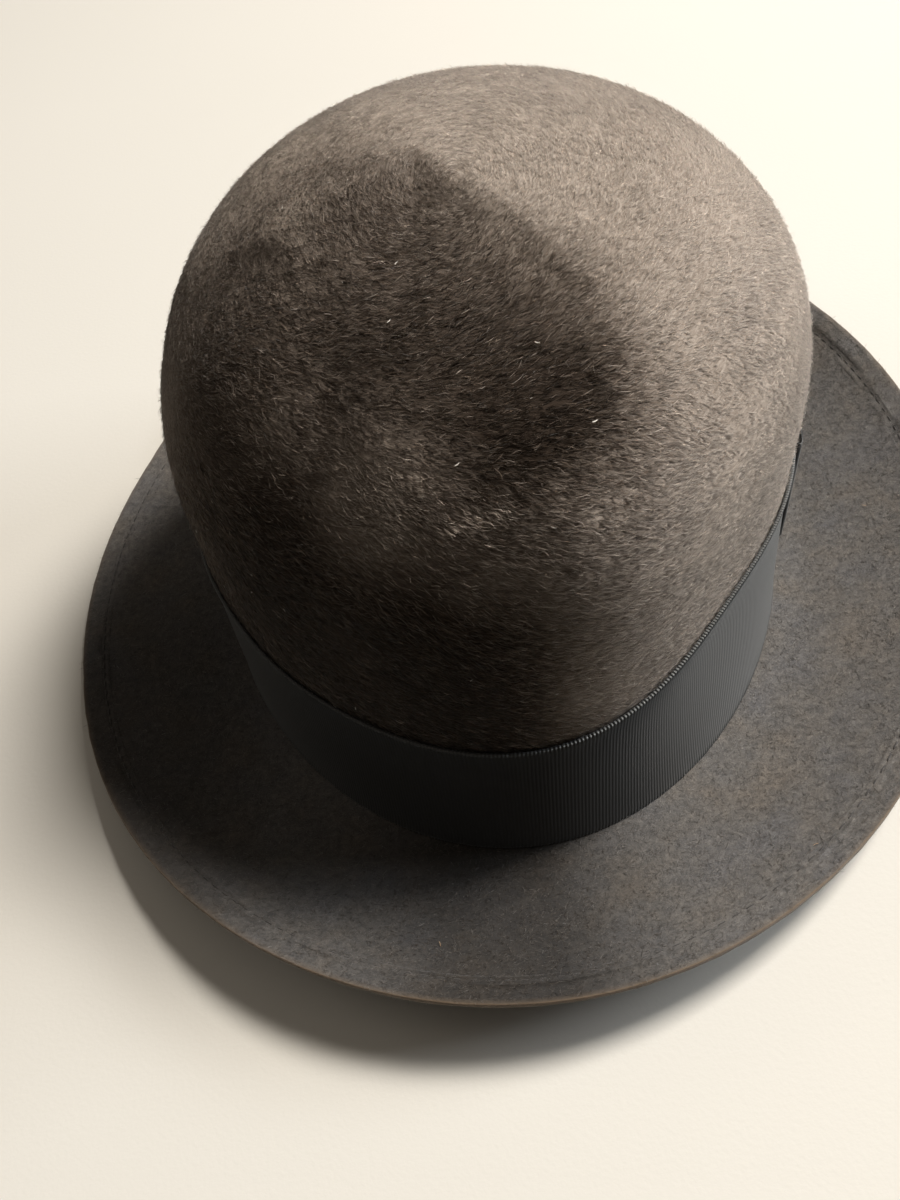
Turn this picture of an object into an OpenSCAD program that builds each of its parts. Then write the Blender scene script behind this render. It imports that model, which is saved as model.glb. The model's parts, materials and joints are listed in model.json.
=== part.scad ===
// Soft felt hat with a tall round open crown, a wide ribbon band and a raw-cut, gently upswept brim.
// +Z up, the front of the hat faces -Y, the wearer's left (the bow side) is +X.
// The origin is the centre of the head opening, on the plane the brim rests on. Millimetres.

/* [Head size] */
// Outside perimeter of the crown felt where it meets the brim
band_perimeter = 600; // [540:5:640]
// Length of the head oval divided by its width
oval_ratio = 1.25; // [1.12:0.01:1.3]
// Superellipse exponent of the head oval (2 is a plain ellipse)
oval_power = 1.95; // [1.9:0.01:2.2]
// How much the oval narrows at the front and widens at the back, as a fraction
egg = 0.045; // [0:0.005:0.08]

/* [Crown] */
// Height of the crown above the brim's top side
crown_h = 132; // [110:1:145]
// Height at which the straight side wall turns into the dome
crown_shoulder_h = 65; // [50:1:80]
// Thickness of the crown felt
crown_t = 2.0; // [1.6:0.1:2.6]
// How far the crown bulges to the sides at its shoulder, as a fraction
side_bulge = 0.04; // [0:0.005:0.08]
// Roundness of the dome (2 is an ellipse, larger is squarer)
dome_power = 2.45; // [2:0.05:3]
// Slump of the soft crown's top towards the wearer's left
slump = 13; // [0:1:20]
// How much lower the top is at the wearer's left than at the right
top_tilt = 5; // [0:0.5:14]
// Depth of the soft dent in the top, towards the front
top_dent = 5; // [0:0.5:9]
// Depth of the hand pinch in the front left of the crown, as a fraction
pinch_left = 0.08; // [0:0.01:0.1]
// Depth of the hand pinch in the front right of the crown, as a fraction
pinch_right = 0.02; // [0:0.005:0.08]

/* [Brim] */
// Width of the brim, from the crown to the raw edge
brim_w = 51.5; // [40:0.5:60]
// Thickness of the brim felt
brim_t = 2.0; // [1.6:0.1:2.6]
// Flat width of the brim beside the crown, which is what the hat rests on
brim_flat = 7; // [5:0.5:9]
// Mean rise of the brim's edge above its flat
edge_rise = 11.5; // [4:0.5:20]
// How much more the edge rises at the front and back than at the sides
edge_swoop = 5.2; // [0:0.1:8]
// How much higher the edge stands at the wearer's left than at the right
edge_lift = 4.6; // [0:0.1:6]
// Uneven wave of the soft edge
edge_wave = 4; // [0:0.5:5]

/* [Ribbon and bow] */
// Height of the ribbon band
ribbon_h = 43; // [30:1:46]
// Thickness of the ribbon
ribbon_t = 0.8; // [0.6:0.1:1.0]
// Length of the flat bow along the band
bow_l = 62; // [46:1:72]
// Thickness of the folded bow loops
bow_t = 2.4; // [1.6:0.1:3.2]
// Width of the knot that wraps the bow
knot_w = 15; // [10:1:20]

/* [Sweatband] */
// Height of the leather sweatband's top edge above the brim's underside
sweat_h = 50; // [40:1:56]
// Thickness of the sweatband leather
sweat_t = 0.9; // [0.7:0.1:1.0]
// Diameter of the reed at the sweatband's lower edge
reed_d = 1.6; // [1.2:0.1:1.8]

/* [Lining] */
// Thickness of the satin lining
lining_t = 0.4; // [0.3:0.1:0.5]
// Gap between the lining and the felt at the top of the crown
lining_gap = 5; // [4:0.5:8]
// Diameter of the welt cord between the lining's side and tip
welt_d = 2.2; // [1.6:0.1:2.6]

/* [Stitching] */
// Distance from the brim's edge to its row of stitches
stitch_inset = 7; // [5:0.5:10]
// Length of one stitch on the brim
stitch_l = 3.2; // [2.4:0.1:4]
// Thickness of the sewing thread
thread_d = 0.5; // [0.4:0.05:0.6]

/* [Hidden] */

// Angles run from the wearer's left (0) through the back (90) to the front (270).
band_n = 84;  // points round the brim, ribbon and sweatband
crown_n = 72; // points round the crown and its lining

// half width and half length of the head oval
half_w = band_perimeter / (2 * PI * sqrt((1 + pow(oval_ratio, 2)) / 2));
half_l = half_w * oval_ratio;

// Faces of the layers on the side wall, measured outwards from the felt's outer face
gap = 0.15; // clearance between neighbouring pieces
crown_in = -crown_t;
lining_clear = 0.3;
lining_out = crown_in - lining_clear;
lining_in = lining_out - lining_t;
tape_t = 0.3;
tape_out = crown_in - 0.65;
tape_in = tape_out - tape_t;
sweat_out = min(lining_in - 0.5, tape_in - gap);
sweat_in = sweat_out - sweat_t;
patch_t = 0.7;
patch_out = sweat_in - thread_d - 0.3;
patch_in = patch_out - patch_t;
ribbon_in = 0.25;
ribbon_out = ribbon_in + ribbon_t;
tail_t = 0.8;
tail_in = ribbon_out + gap;
loops_in = tail_in + tail_t + gap;
knot_t = 1.4;
knot_in = loops_in + bow_t + gap;

// ---- General helpers ----

function signed_pow(value, power) = (value < 0 ? -1 : 1) * pow(abs(value), power);
function unit(v) = v / norm(v);
function flip(list) = [for (i = [len(list) - 1:-1:0]) list[i]];
function angles(count = band_n) = [for (i = [0:count - 1]) i * 360 / count];

// triangles that join ring j to ring k, both of n points
function ring_faces(j, k, n) =
    [for (i = [0:n - 1]) let (h = (i + 1) % n)
        each [[j * n + i, k * n + i, k * n + h], [j * n + i, k * n + h, j * n + h]]];

// closed loop: each ring is joined to the next and the last to the first
module loop_solid(rings) {
    m = len(rings);
    polyhedron(points = [for (ring = rings) each ring],
               faces = [for (j = [0:m - 1]) each ring_faces(j, (j + 1) % m, len(rings[0]))]);
}

// strip of ribbon, leather or paper: a row of cross-sections, with both ends capped
module strip_solid(sections) {
    n = len(sections[0]);
    last = len(sections) - 1;
    polyhedron(points = [for (section = sections) each section],
               faces = [for (j = [0:last - 1]) for (face = ring_faces(j, j + 1, n)) flip(face),
                        for (i = [1:n - 2]) [0, i + 1, i],
                        for (i = [1:n - 2]) [last * n, last * n + i, last * n + i + 1]]);
}

// bowl-shaped sheet: outer rings from rim to pole, then inner rings from pole to rim
module bowl_solid(outer, outer_pole, inner, inner_pole) {
    n = len(outer[0]);
    split = len(outer);
    rings = concat(outer, inner);
    m = len(rings);
    pole = m * n;
    polyhedron(points = concat([for (ring = rings) each ring], [outer_pole, inner_pole]),
               faces = [for (j = [0:m - 1]) if (j != split - 1) each ring_faces(j, (j + 1) % m, n),
                        for (i = [0:n - 1]) [(split - 1) * n + i, pole, (split - 1) * n + (i + 1) % n],
                        for (i = [0:n - 1]) [split * n + i, split * n + (i + 1) % n, pole + 1]]);
}

// straight stitch between two points
module stitch(start, end, d = thread_d) {
    run = end - start;
    length = norm(run);
    translate(start)
        rotate([0, acos(run[2] / length), atan2(run[1], run[0])])
            cylinder(h = length, d = d, $fn = 6);
}

// ---- Head oval ----

pinch_left_at = 310;
pinch_right_at = 230;
pinch_spread = 26; // degrees
normal_step = 0.6; // degrees either side of the point whose normal is taken

// smooth bump round an angle, 1 at its centre
function bump(angle, centre, spread) =
    let (turn = ((angle - centre + 540) % 360) - 180)
    exp(-pow(turn / spread, 2));

// a point of the oval; grip is how much of the hand pinches applies
function oval(angle, a, b, grip = 0) =
    let (power = 2 / oval_power,
         pinch = 1 - grip * (pinch_left * bump(angle, pinch_left_at, pinch_spread)
                             + pinch_right * bump(angle, pinch_right_at, pinch_spread)))
    [signed_pow(cos(angle), power) * a * (1 + egg * sin(angle)) * pinch,
     signed_pow(sin(angle), power) * b * pinch];

// the oval moved outwards by off
function oval_off(angle, a, b, off, grip = 0) =
    let (along = unit(oval(angle + normal_step, a, b, grip)
                      - oval(angle - normal_step, a, b, grip)))
    oval(angle, a, b, grip) + off * [along[1], -along[0]];

// ---- Crown surface ----

top_forward = 1.4;    // shift of the top towards the front
top_back_rise = 4.8;  // rise of the top at tilt_y behind the centre
tilt_x = 90;          // sideways distance over which top_tilt is reached
tilt_y = 100;
length_taper = 0.011; // fraction of its length the oval loses up to the shoulder
grip_h = 45;          // height at which the hand pinches are at full depth

// soft dents pressed into the crown: centre, reach, depth
dents = [[[18, -30, 132], 34, top_dent],
         [[-32, -74, 84], 30, top_dent * 0.6],
         [[-52, -2, 122], 22, top_dent * 0.5]];
dent_aim = [slump * 0.4, 0, 50]; // point the dents are pressed towards

function dented(point) =
    let (depths = [for (dent = dents) let (v = point - dent[0])
                      dent[2] * exp(-(v * v) / (dent[1] * dent[1]))])
    point - (depths * [1, 1, 1]) * unit(point - dent_aim);

// slump and tilt of the soft crown, for a plan point at height z above the brim
function slumped(p, z) =
    let (k = max(0, z) / crown_h)
    [p[0] + slump * k,
     p[1] - top_forward * k,
     brim_t + z + (-top_tilt * p[0] / tilt_x + top_back_rise * p[1] / tilt_y) * k * k];

// side wall at height z above the brim, moved outwards by off
function on_wall(angle, z, off) =
    let (k = z / crown_shoulder_h,
         grip = z <= 0 ? 0 : z >= grip_h ? 1 : sin(90 * z / grip_h),
         a = half_w * (1 + side_bulge * k),
         b = half_l * (1 - length_taper * k))
    dented(slumped(oval_off(angle, a, b, off, grip), z));

// side wall at height z above the brim's underside
function inside(angle, z, off) = on_wall(angle, z - brim_t, off);

// dome above the shoulder; u runs from 0 at the shoulder to 1 at the top
function on_dome(angle, u, off) =
    let (power = 2 / dome_power,
         rise = crown_h + off - crown_shoulder_h,
         z = crown_shoulder_h + rise * pow(sin(90 * u), power),
         a = half_w * (1 + side_bulge) + off,
         b = half_l * (1 - length_taper) + off)
    dented(slumped(oval(angle, a, b, 1 - u) * pow(cos(90 * u), power), z));

// rings on the wall at heights above base, which is itself a height below the brim's top side
function wall_rings(heights, off, count = band_n, base = 0) =
    [for (z = heights) [for (angle = angles(count)) on_wall(angle, z - base, off)]];

// rings on the dome; ease is how far they draw inwards between shoulder and top
function dome_rings(steps, off, ease = 0) =
    [for (u = steps) [for (angle = angles(crown_n)) on_dome(angle, u, off - ease * u)]];

// outer and inner rings of a layer that runs round the wall
function band_rings(heights, outer, inner, base = 0) =
    concat(wall_rings(heights, outer, base = base),
           flip(wall_rings(heights, inner, base = base)));

// cross-sections of a strip on the wall, with four corners or with mid-height points as well
function strip_section(angle, inner, outer, low, high) =
    [for (p = [[inner, low], [outer, low], [outer, high], [inner, high]])
        on_wall(angle, p[1], p[0])];
function bent_section(angle, inner, outer, low, high) =
    let (mid = (low + high) / 2)
    [for (p = [[inner, low], [outer, low], [outer, mid], [outer, high], [inner, high], [inner, mid]])
        on_wall(angle, p[1], p[0])];

module crown() {
    heights = [0.2, 9, 19, 30, 42, 54];
    steps = [0, 0.1, 0.2, 0.3, 0.4, 0.5, 0.6, 0.7, 0.8, 0.9, 0.965];
    function face(off) = concat(wall_rings(heights, off, crown_n), dome_rings(steps, off));
    color("#6e6259")
        bowl_solid(face(0), on_dome(0, 1, 0), flip(face(crown_in)), on_dome(0, 1, crown_in));
}

// ---- Brim ----

edge_front = 0.5;  // extra rise of the edge at the front
edge_min = 2;      // rise below which the edge levels off softly
brim_curve = 1.4;  // exponent of the brim's upsweep
wide_back = 1.2;   // extra brim width at the back
narrow_left = 0.5; // width lost at the wearer's left
wide_sides = 1.4;  // extra width at both sides
edge_round = 0.5;  // width of the rounding at the raw edge

// height of the edge above the flat
function edge_z(angle) =
    let (wave = sin(2 * angle) + 0.3 * cos(3 * angle) - 0.1 * sin(3 * angle),
         rise = edge_rise + edge_lift * cos(angle) - edge_front * sin(angle)
                - edge_swoop * cos(2 * angle) + edge_wave * wave)
    rise > edge_min ? rise : edge_min * exp((rise - edge_min) / edge_min);

function edge_w(angle) =
    brim_w + wide_back * sin(angle) - narrow_left * cos(angle) + wide_sides * cos(2 * angle);

// a point at distance out from the crown, at height h above the brim's underside
function on_brim(angle, out, h) =
    let (p = oval_off(angle, half_w, half_l, out),
         k = max(0, out - brim_flat) / (edge_w(angle) - brim_flat))
    [p[0], p[1], edge_z(angle) * pow(k, brim_curve) + h];

module brim() {
    steps = 7;
    // step 0 is under the crown felt, step 1 ends the flat, the last starts the rounded edge
    function out(angle, k) =
        k == 0 ? -crown_t
               : brim_flat + (edge_w(angle) - edge_round - brim_flat) * (k - 1) / (steps - 1);
    function face(h) =
        [for (k = [0:steps]) [for (angle = angles()) on_brim(angle, out(angle, k), h)]];
    edge = [for (angle = angles()) on_brim(angle, edge_w(angle), brim_t / 2)];
    color("#3d3b3b") loop_solid(flip(concat(face(brim_t), [edge], flip(face(0)))));
}

// whip stitches that join the crown to the brim on the inside
module crown_brim_seam() {
    off = crown_in - 0.36;
    color("#2c2a29")
        for (angle = [0:5:355])
            stitch(inside(angle, 0.7, off), inside(angle + 1.3, brim_t + 2, off), 0.35);
}

module brim_edge_stitching() {
    pitch_ratio = 1.35; // stitch pitch over stitch length
    cover = 0.74;       // share of each pitch that the stitch covers
    count = floor(PI * (half_w + half_l + 2 * brim_w) / (stitch_l * pitch_ratio));
    step = 360 / count;
    height = brim_t + thread_d / 2 + 0.12;
    function on_row(angle) = on_brim(angle, edge_w(angle) - stitch_inset, height);
    color("#2f2e30")
        for (i = [0:count - 1]) stitch(on_row(i * step), on_row(i * step + step * cover));
}

// ---- Ribbon and bow ----

bow_at = 4;      // angle of the bow's middle
bow_margin = 1.5; // from the ribbon's edges to the tail and knot
loop_margin = 3; // from the ribbon's edges to the loops

// angle on the band at a distance along it from the bow's middle; 57.3 is degrees per radian
function bow_angle(along) = bow_at + along / half_l * 57.3;

module hatband_ribbon() {
    color("#17181c") loop_solid(band_rings([0.35, 9, 19, 30, ribbon_h], ribbon_out, ribbon_in));
}

// flat tail under the loops, tapered at its back end
module bow_tail() {
    steps = 12;
    color("#1a1b20") strip_solid([for (k = [0:steps])
        let (along = -bow_l / 2 + 3 + k * (bow_l - 1) / steps,
             margin = bow_margin + 2.5 * max(0, k - 10))
        bent_section(bow_angle(along), tail_in, tail_in + tail_t, margin, ribbon_h - margin)]);
}

// two folded loops, gathered under the knot
module bow_loops() {
    steps = 8;
    start = 1;  // distance of each loop's inner end from the middle
    gather = 7; // extra margin where a loop is gathered
    color("#1d1e23") for (side = [-1, 1]) strip_solid([for (k = [0:steps])
        let (w = side > 0 ? k / steps : 1 - k / steps, // 0 at the knot, 1 at the loop's end
             along = side * (start + w * (bow_l / 2 - start)),
             margin = loop_margin + gather * pow(1 - w, 2),
             thick = bow_t * (w > 0.95 ? 0.45 : 1))
        bent_section(bow_angle(along), loops_in, loops_in + thick, margin, ribbon_h - margin)]);
}

// knot, thinned at both ends
module bow_knot() {
    steps = 6;
    color("#15161a") strip_solid([for (k = [0:steps])
        let (along = -knot_w / 2 + k * knot_w / steps,
             thick = knot_t * (k == 0 || k == steps ? 0.4 : 1))
        bent_section(bow_angle(along), knot_in, knot_in + thick,
                     bow_margin, ribbon_h - bow_margin)]);
}

// small upright tacks on the band, just beyond the ends of the bow
module bow_tack_stitches() {
    off = tail_in + thread_d / 2;
    color("#101114")
        for (along = [-bow_l / 2 - 1.6, bow_l / 2 + 4.2])
            for (z = [7, ribbon_h / 2 - 1.5, ribbon_h - 10])
                stitch(on_wall(bow_angle(along), z, off), on_wall(bow_angle(along), z + 3, off));
}

// ---- Sweatband ----

back = 90; // angle of the back of the hat

module sweatband() {
    color("#5a3a26")
        loop_solid(band_rings([2.2, 16, 31, 42, sweat_h], sweat_out, sweat_in, brim_t));
}

// stiff five-sided reed that keeps the sweatband's lower edge open
module sweatband_reed() {
    r = reed_d / 2;
    mid = tape_in - gap - r;
    color("#d8d2c4") loop_solid([for (turn = [0:72:288]) [for (angle = angles())
        let (p = oval_off(angle, half_w, half_l, mid + r * cos(turn)))
        [p[0], p[1], 0.3 + r + r * sin(turn)]]]);
}

// woven tape between the reed and the felt
module reed_tape() {
    color("#2a2622") loop_solid(band_rings([0.4, 10], tape_out, tape_in, brim_t));
}

// zigzag stitches along the foot of the sweatband
module sweatband_stitching() {
    off = sweat_in - thread_d / 2 - 0.16;
    ends = [7.2, 4.2];
    color("#8a6a4c") for (i = [0:119])
        stitch(inside(i * 3 + 0.3, ends[i % 2], off), inside(i * 3 + 2.5, ends[1 - i % 2], off));
}

// leather patch at the back of the sweatband
module sweatband_back_patch() {
    color("#4c3020") strip_solid([for (k = [-2:2])
        bent_section(back + k * 2.2, patch_in, patch_out, 9 - brim_t, sweat_h - 3 - brim_t)]);
}

// small flat bow of narrow ribbon on the back patch, narrowest in its middle
module sweatband_bow() {
    outer = patch_in - gap;
    color("#241a14") strip_solid([for (k = [-5:5])
        let (w = abs(k) / 5, half_h = 1.8 + 3.2 * w, mid = 14 - 2 * w - brim_t)
        strip_section(back + k * 1.9, outer - 1.1, outer, mid - half_h, mid + half_h)]);
}

// ---- Lining ----

// how far the lining eases away from the felt between shoulder and top
lining_ease = lining_gap - lining_clear;

// bowl in the top of the dome that follows the lining's easing
module tip_bowl(steps, outer, inner) {
    bowl_solid(dome_rings(steps, outer, lining_ease), on_dome(0, 1, outer - lining_ease),
               flip(dome_rings(steps, inner, lining_ease)), on_dome(0, 1, inner - lining_ease));
}

module lining_side() {
    heights = [10.4, 20, 31, 42, 54];
    steps = [0, 0.12, 0.24, 0.36, 0.47];
    function face(off) =
        concat(wall_rings(heights, off, crown_n), dome_rings(steps, off, lining_ease));
    color("#7a1f2b") loop_solid(concat(face(lining_out), flip(face(lining_in))));
}

module lining_tip() {
    color("#7a1f2b") tip_bowl([0.5, 0.58, 0.66, 0.75, 0.84, 0.93], lining_out, lining_in);
}

// six-sided cord that trims the seam between the lining's side and tip
module lining_welt_cord() {
    r = welt_d / 2;
    u = 0.485;
    mid = lining_in - lining_ease * u - gap - r - 0.25;
    color("#5e1620") loop_solid(flip([for (turn = [0:60:300]) [for (angle = angles(crown_n))
        let (p = on_dome(angle, u, mid), inward = unit(on_dome(angle, u, mid - 1) - p))
        p + r * cos(turn) * inward + [0, 0, r * sin(turn)]]]));
}

// thread tacks round the lining, near its lower edge
module lining_tacks() {
    off = lining_in - 0.24;
    color("#6a1a25")
        for (angle = [15:30:345]) stitch(inside(angle, 16, off), inside(angle + 1, 19, off), 0.3);
}

// clear oval sheet that keeps hair oil off the lining's tip
module tip_shield() {
    outer = lining_in - 0.5;
    color([0.85, 0.88, 0.9, 0.4]) tip_bowl([0.7, 0.78, 0.86, 0.94], outer, outer - 0.4);
}

// blank paper label above the sweatband, at the back and a little to the wearer's left
module size_label() {
    color("#e6e0d0") strip_solid([for (k = [-2:2])
        strip_section(72 + k * 2.4, lining_in - 0.6, lining_in - 0.3, sweat_h + 4, sweat_h + 12)]);
}

crown();
brim();
crown_brim_seam();
hatband_ribbon();
bow_tail();
bow_loops();
bow_knot();
bow_tack_stitches();
brim_edge_stitching();
sweatband();
sweatband_reed();
reed_tape();
sweatband_stitching();
sweatband_back_patch();
sweatband_bow();
lining_side();
lining_tip();
lining_welt_cord();
lining_tacks();
tip_shield();
size_label();
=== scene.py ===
"""Round-crowned soft felt hat: felt crown and brim, grosgrain band and bow, lined inside.

The brim's underside starts at z = 0, +Z is up, the front faces -Y and the wearer's left, with
the bow, is +X. Shapes are in millimetres and scaled by MM as they become meshes. Angles round
the hat are in degrees from +X towards +Y, so the front is at 270 and the back at 90.
"""

import json
import math

import bmesh
import bpy
import numpy as np
from mathutils import Matrix

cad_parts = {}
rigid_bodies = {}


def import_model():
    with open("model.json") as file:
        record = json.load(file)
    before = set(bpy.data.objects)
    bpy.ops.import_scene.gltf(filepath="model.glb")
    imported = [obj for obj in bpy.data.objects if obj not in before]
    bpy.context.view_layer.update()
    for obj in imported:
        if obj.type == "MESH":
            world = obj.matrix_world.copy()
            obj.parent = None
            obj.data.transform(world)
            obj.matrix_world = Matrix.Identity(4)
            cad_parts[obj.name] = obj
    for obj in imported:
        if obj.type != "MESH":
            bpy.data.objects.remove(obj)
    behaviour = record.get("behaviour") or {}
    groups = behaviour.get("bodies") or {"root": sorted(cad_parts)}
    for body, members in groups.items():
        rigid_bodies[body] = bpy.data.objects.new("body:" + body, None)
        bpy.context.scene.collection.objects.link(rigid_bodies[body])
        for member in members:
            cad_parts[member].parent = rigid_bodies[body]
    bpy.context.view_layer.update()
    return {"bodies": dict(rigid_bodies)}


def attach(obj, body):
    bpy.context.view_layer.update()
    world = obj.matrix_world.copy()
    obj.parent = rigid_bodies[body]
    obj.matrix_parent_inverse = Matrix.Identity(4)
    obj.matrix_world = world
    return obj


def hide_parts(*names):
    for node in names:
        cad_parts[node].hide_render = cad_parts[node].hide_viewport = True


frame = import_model()
MM = 0.001

# ---------------------------------------------------------------- driving dimensions, mm
PERIMETER = 600.0  # round the foot of the crown
ASPECT = 1.25  # length over width
OUTLINE_POWER = 1.95  # superellipse power of the plan
EGG = 0.045
HALF_X = PERIMETER / (2 * np.pi * np.sqrt((1 + ASPECT**2) / 2))
HALF_Y = HALF_X * ASPECT

CROWN_H = 132.0
WALL_H = 65.0  # where the side wall turns into the dome
FELT_T = 2.0
BULGE = 0.04  # how far the wall widens towards its top
DOME_POWER = 2.45
SLUMP = 13.0  # how far the crown leans to +X
TILT = 5.0
PINCH_LEFT = 0.08  # hollows at the two front corners
PINCH_RIGHT = 0.02

BRIM_W = 51.5
BRIM_T = 2.0
BRIM_FLAT = 7.0  # level part next to the crown
EDGE_MEAN = 11.5  # rise of the brim's edge
EDGE_SIDE = 4.6  # more on the wearer's left than on the right
EDGE_ENDS = 5.2  # more at front and back than at the sides
EDGE_TWIST = 4.0
GROOVE = 7.0  # stitched groove, in from the brim's edge

RIBBON_H = 43.0
RIBBON_T = 0.8
RIB = 0.94  # pitch of the grosgrain's ribs
SNUG = 0.25  # gap between ribbon and felt
GAP = 0.15  # gap between stacked pieces
BOW_L = 62.0
BOW_T = 2.4
KNOT_W = 15.0
TAIL_IN = SNUG + RIBBON_T + GAP
LOOPS_IN = TAIL_IN + 0.8 + GAP
KNOT_IN = LOOPS_IN + BOW_T + GAP

# layers inside the crown, as offsets from its outer face
CROWN_INNER = -FELT_T
LINING_T = 0.4
LINING_OUTER = CROWN_INNER - 0.3
LINING_INNER = LINING_OUTER - LINING_T
SWEAT_OUTER = LINING_INNER - 0.5
SWEAT_INNER = SWEAT_OUTER - 0.9
SWEAT_H = 50.0


# ---------------------------------------------------------------- small maths
def vec(*parts):
    return np.stack(np.broadcast_arrays(*parts), -1)


def unit(v):
    return v / np.maximum(np.linalg.norm(v, axis=-1, keepdims=True), 1e-9)


def split(points):
    return np.moveaxis(points, -1, 0)


def signed_power(value, power):
    return np.sign(value) * np.abs(value) ** power


def hump(value, width):
    return np.exp(-((value / width) ** 2))


def bell(angle, centre, width):
    return hump((angle - centre + 180) % 360 - 180, width)


def smooth(value, start, end):
    k = np.clip((value - start) / (end - start), 0, 1)
    return k * k * (3 - 2 * k)


def running_length(steps):
    return np.concatenate([[0], np.cumsum(steps)])


def soft_noise(rows, cols, row_grain, col_grain, seed):
    """Smooth random field on a grid that closes round its columns."""
    field = np.random.default_rng(seed).standard_normal((rows * 2, cols))
    field[rows:] = field[:rows][::-1]
    row_freq = np.fft.fftfreq(rows * 2)[:, None] * row_grain
    col_freq = np.fft.fftfreq(cols)[None] * col_grain
    blur = np.exp(-2 * np.pi**2 * (row_freq**2 + col_freq**2))
    field = np.fft.ifft2(np.fft.fft2(field) * blur).real[:rows]
    return field / field.std()


# ---------------------------------------------------------------- dents and ridge
# marks pressed into the crown: x, y, z, radius, depth inwards
DENTS = ((18, -30, 132, 34, 5.0), (-32, -74, 84, 30, 3.0), (-52, -2, 122, 22, 2.5))
FINE_DENTS = (
    (25, -62, 116, 17, 1.0), (-50, -60, 98, 19, 1.4), (0, -102, 84, 17, 2.4),
    (-48, 21, 124, 15, 1.6), (-24, 25, 133, 15, 1.2), (-72, -44, 60, 20, 1.3),
    (-20, -76, 108, 19, -2.4), (-58, -30, 108, 15, -1.0), (48, -30, 122, 20, -0.8),
)
# spots of painted shade (positive) and painted highlight (negative), partly the real brushing of
# the nap: x, y, z, radius, amount
BRUSH_AND_SHADE_MARKS = (
    (26, -70, 114, 15, 0.32), (12, -76, 112, 13, 0.34), (-2, -50, 121, 24, 0.16),
    (-30, -84, 80, 26, 0.25), (-12, -97, 68, 22, 0.15), (-54, -62, 84, 20, 0.32),
    (-40, 13, 127, 14, 0.36), (-20, 18, 131, 15, 0.42), (-6, 8, 134, 11, 0.25),
    (-48, -26, 117, 14, 0.12), (-12, -4, 131, 13, 0.12), (-24, -75, 105, 14, -0.98),
    (-5, -82, 104, 12, -0.34), (-30, -7, 128, 15, -0.28), (-78, -6, 98, 22, -0.75),
    (-76, -34, 60, 16, -0.15), (4, -90, 100, 13, -0.62), (-38, -50, 112, 13, -0.30),
    (86, -30, 66, 38, -0.42), (26, 14, 132, 26, -0.14),
)
# x, y of the soft V-shaped ridge in the top: -X arm, apex, +X arm, then down the front
RIDGE = np.array([
    (-150, 52), (-90, 33), (-64, 22), (-50, 9), (-32, -3), (-14, 3), (4, 13), (13, -2),
    (24, -20), (34, -42), (36, -62), (29, -80), (18, -92), (12, -112), (9, -150),
], float)
# x, z of the ends of a short scuff on the crown's front, and of the tuft below it
SCUFF = np.array([(-10.5, 102.3), (4.2, 105.6)])
TUFT = np.array((-7.5, 92.0))


def pressed(points, marks):
    return sum(
        depth * np.exp(-((points - (x, y, z)) ** 2).sum(-1) / radius**2)
        for x, y, z, radius, depth in marks
    )


def segment_distance(points, start, end):
    """Distance in a plane from a straight segment."""
    step = end - start
    k = np.clip(((points - start) @ step) / (step @ step), 0, 1)
    return np.linalg.norm(points - start - k[..., None] * step, axis=-1)


def ridge_field(points):
    """Signed plan distance from the ridge: positive in front, where the crown is pushed in."""
    flat = points[..., :2]
    x, y = split(flat)
    nearest = np.full(x.shape, 1e9)
    for start, end in zip(RIDGE[:-1], RIDGE[1:]):
        nearest = np.minimum(nearest, segment_distance(flat, start, end))
    corners = np.vstack([RIDGE, [[-150, -150]]])
    inside = np.zeros(x.shape, bool)
    for (x0, y0), (x1, y1) in zip(corners, np.roll(corners, -1, 0)):
        if y0 != y1:
            inside ^= ((y0 > y) != (y1 > y)) & (x < (x1 - x0) * (y - y0) / (y1 - y0) + x0)
    return np.where(inside, nearest, -nearest)


def relief(points):
    """Depth of the softer hand-made dents, inwards."""
    x, y, z = split(points)
    ridge = ridge_field(points)
    along = np.hypot(x - 5, y - 10)
    left = smooth(x, -10, 12)
    softness = 9 + 11 * smooth(along, 6, 80) * left  # crisp at the apex, broad along the +X arm
    inner = np.maximum(ridge, 0)
    arm = smooth(z, 80, 114) * (1 - 0.90 * smooth(-x, 26, 58))  # the -X arm dies away
    hollow = 2.4 * (1 - np.exp(-((inner / softness) ** 1.6))) + 0.095 * np.minimum(inner, 62)
    crest = 0.65 * hump(np.minimum(ridge, 0), 12) * hump(inner, 5)
    crest = crest * (1 - 0.6 * smooth(along, 30, 80) * left)
    return arm * (hollow - crest) + pressed(points, FINE_DENTS)


def push_in(points, depth):
    """Moves points towards the middle of the crown."""
    v = points - (SLUMP * 0.4, 0, 50.0)
    return points - v * (depth / np.linalg.norm(v, axis=-1))[..., None]


def shaped(points):
    points = push_in(points, pressed(points, DENTS))
    return push_in(points, relief(points))


# ---------------------------------------------------------------- surfaces of the hat
def outline(angle, half_x, half_y, pinch=0.0):
    """Plan of the hat: an egg-shaped superellipse, pinched at its two front corners."""
    cos, sin = np.cos(np.radians(angle)), np.sin(np.radians(angle))
    power = 2 / OUTLINE_POWER
    corners = PINCH_LEFT * bell(angle, 310, 26) + PINCH_RIGHT * bell(angle, 230, 26)
    squeeze = 1 - pinch * corners
    return vec(
        signed_power(cos, power) * half_x * (1 + EGG * sin) * squeeze,
        signed_power(sin, power) * half_y * squeeze,
    )


def offset_outline(angle, offset, *shape):
    shape = shape or (HALF_X, HALF_Y)
    dx, dy = split(outline(angle + 0.6, *shape) - outline(angle - 0.6, *shape))
    return outline(angle, *shape) + np.asarray(offset)[..., None] * unit(vec(dy, -dx))


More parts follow.
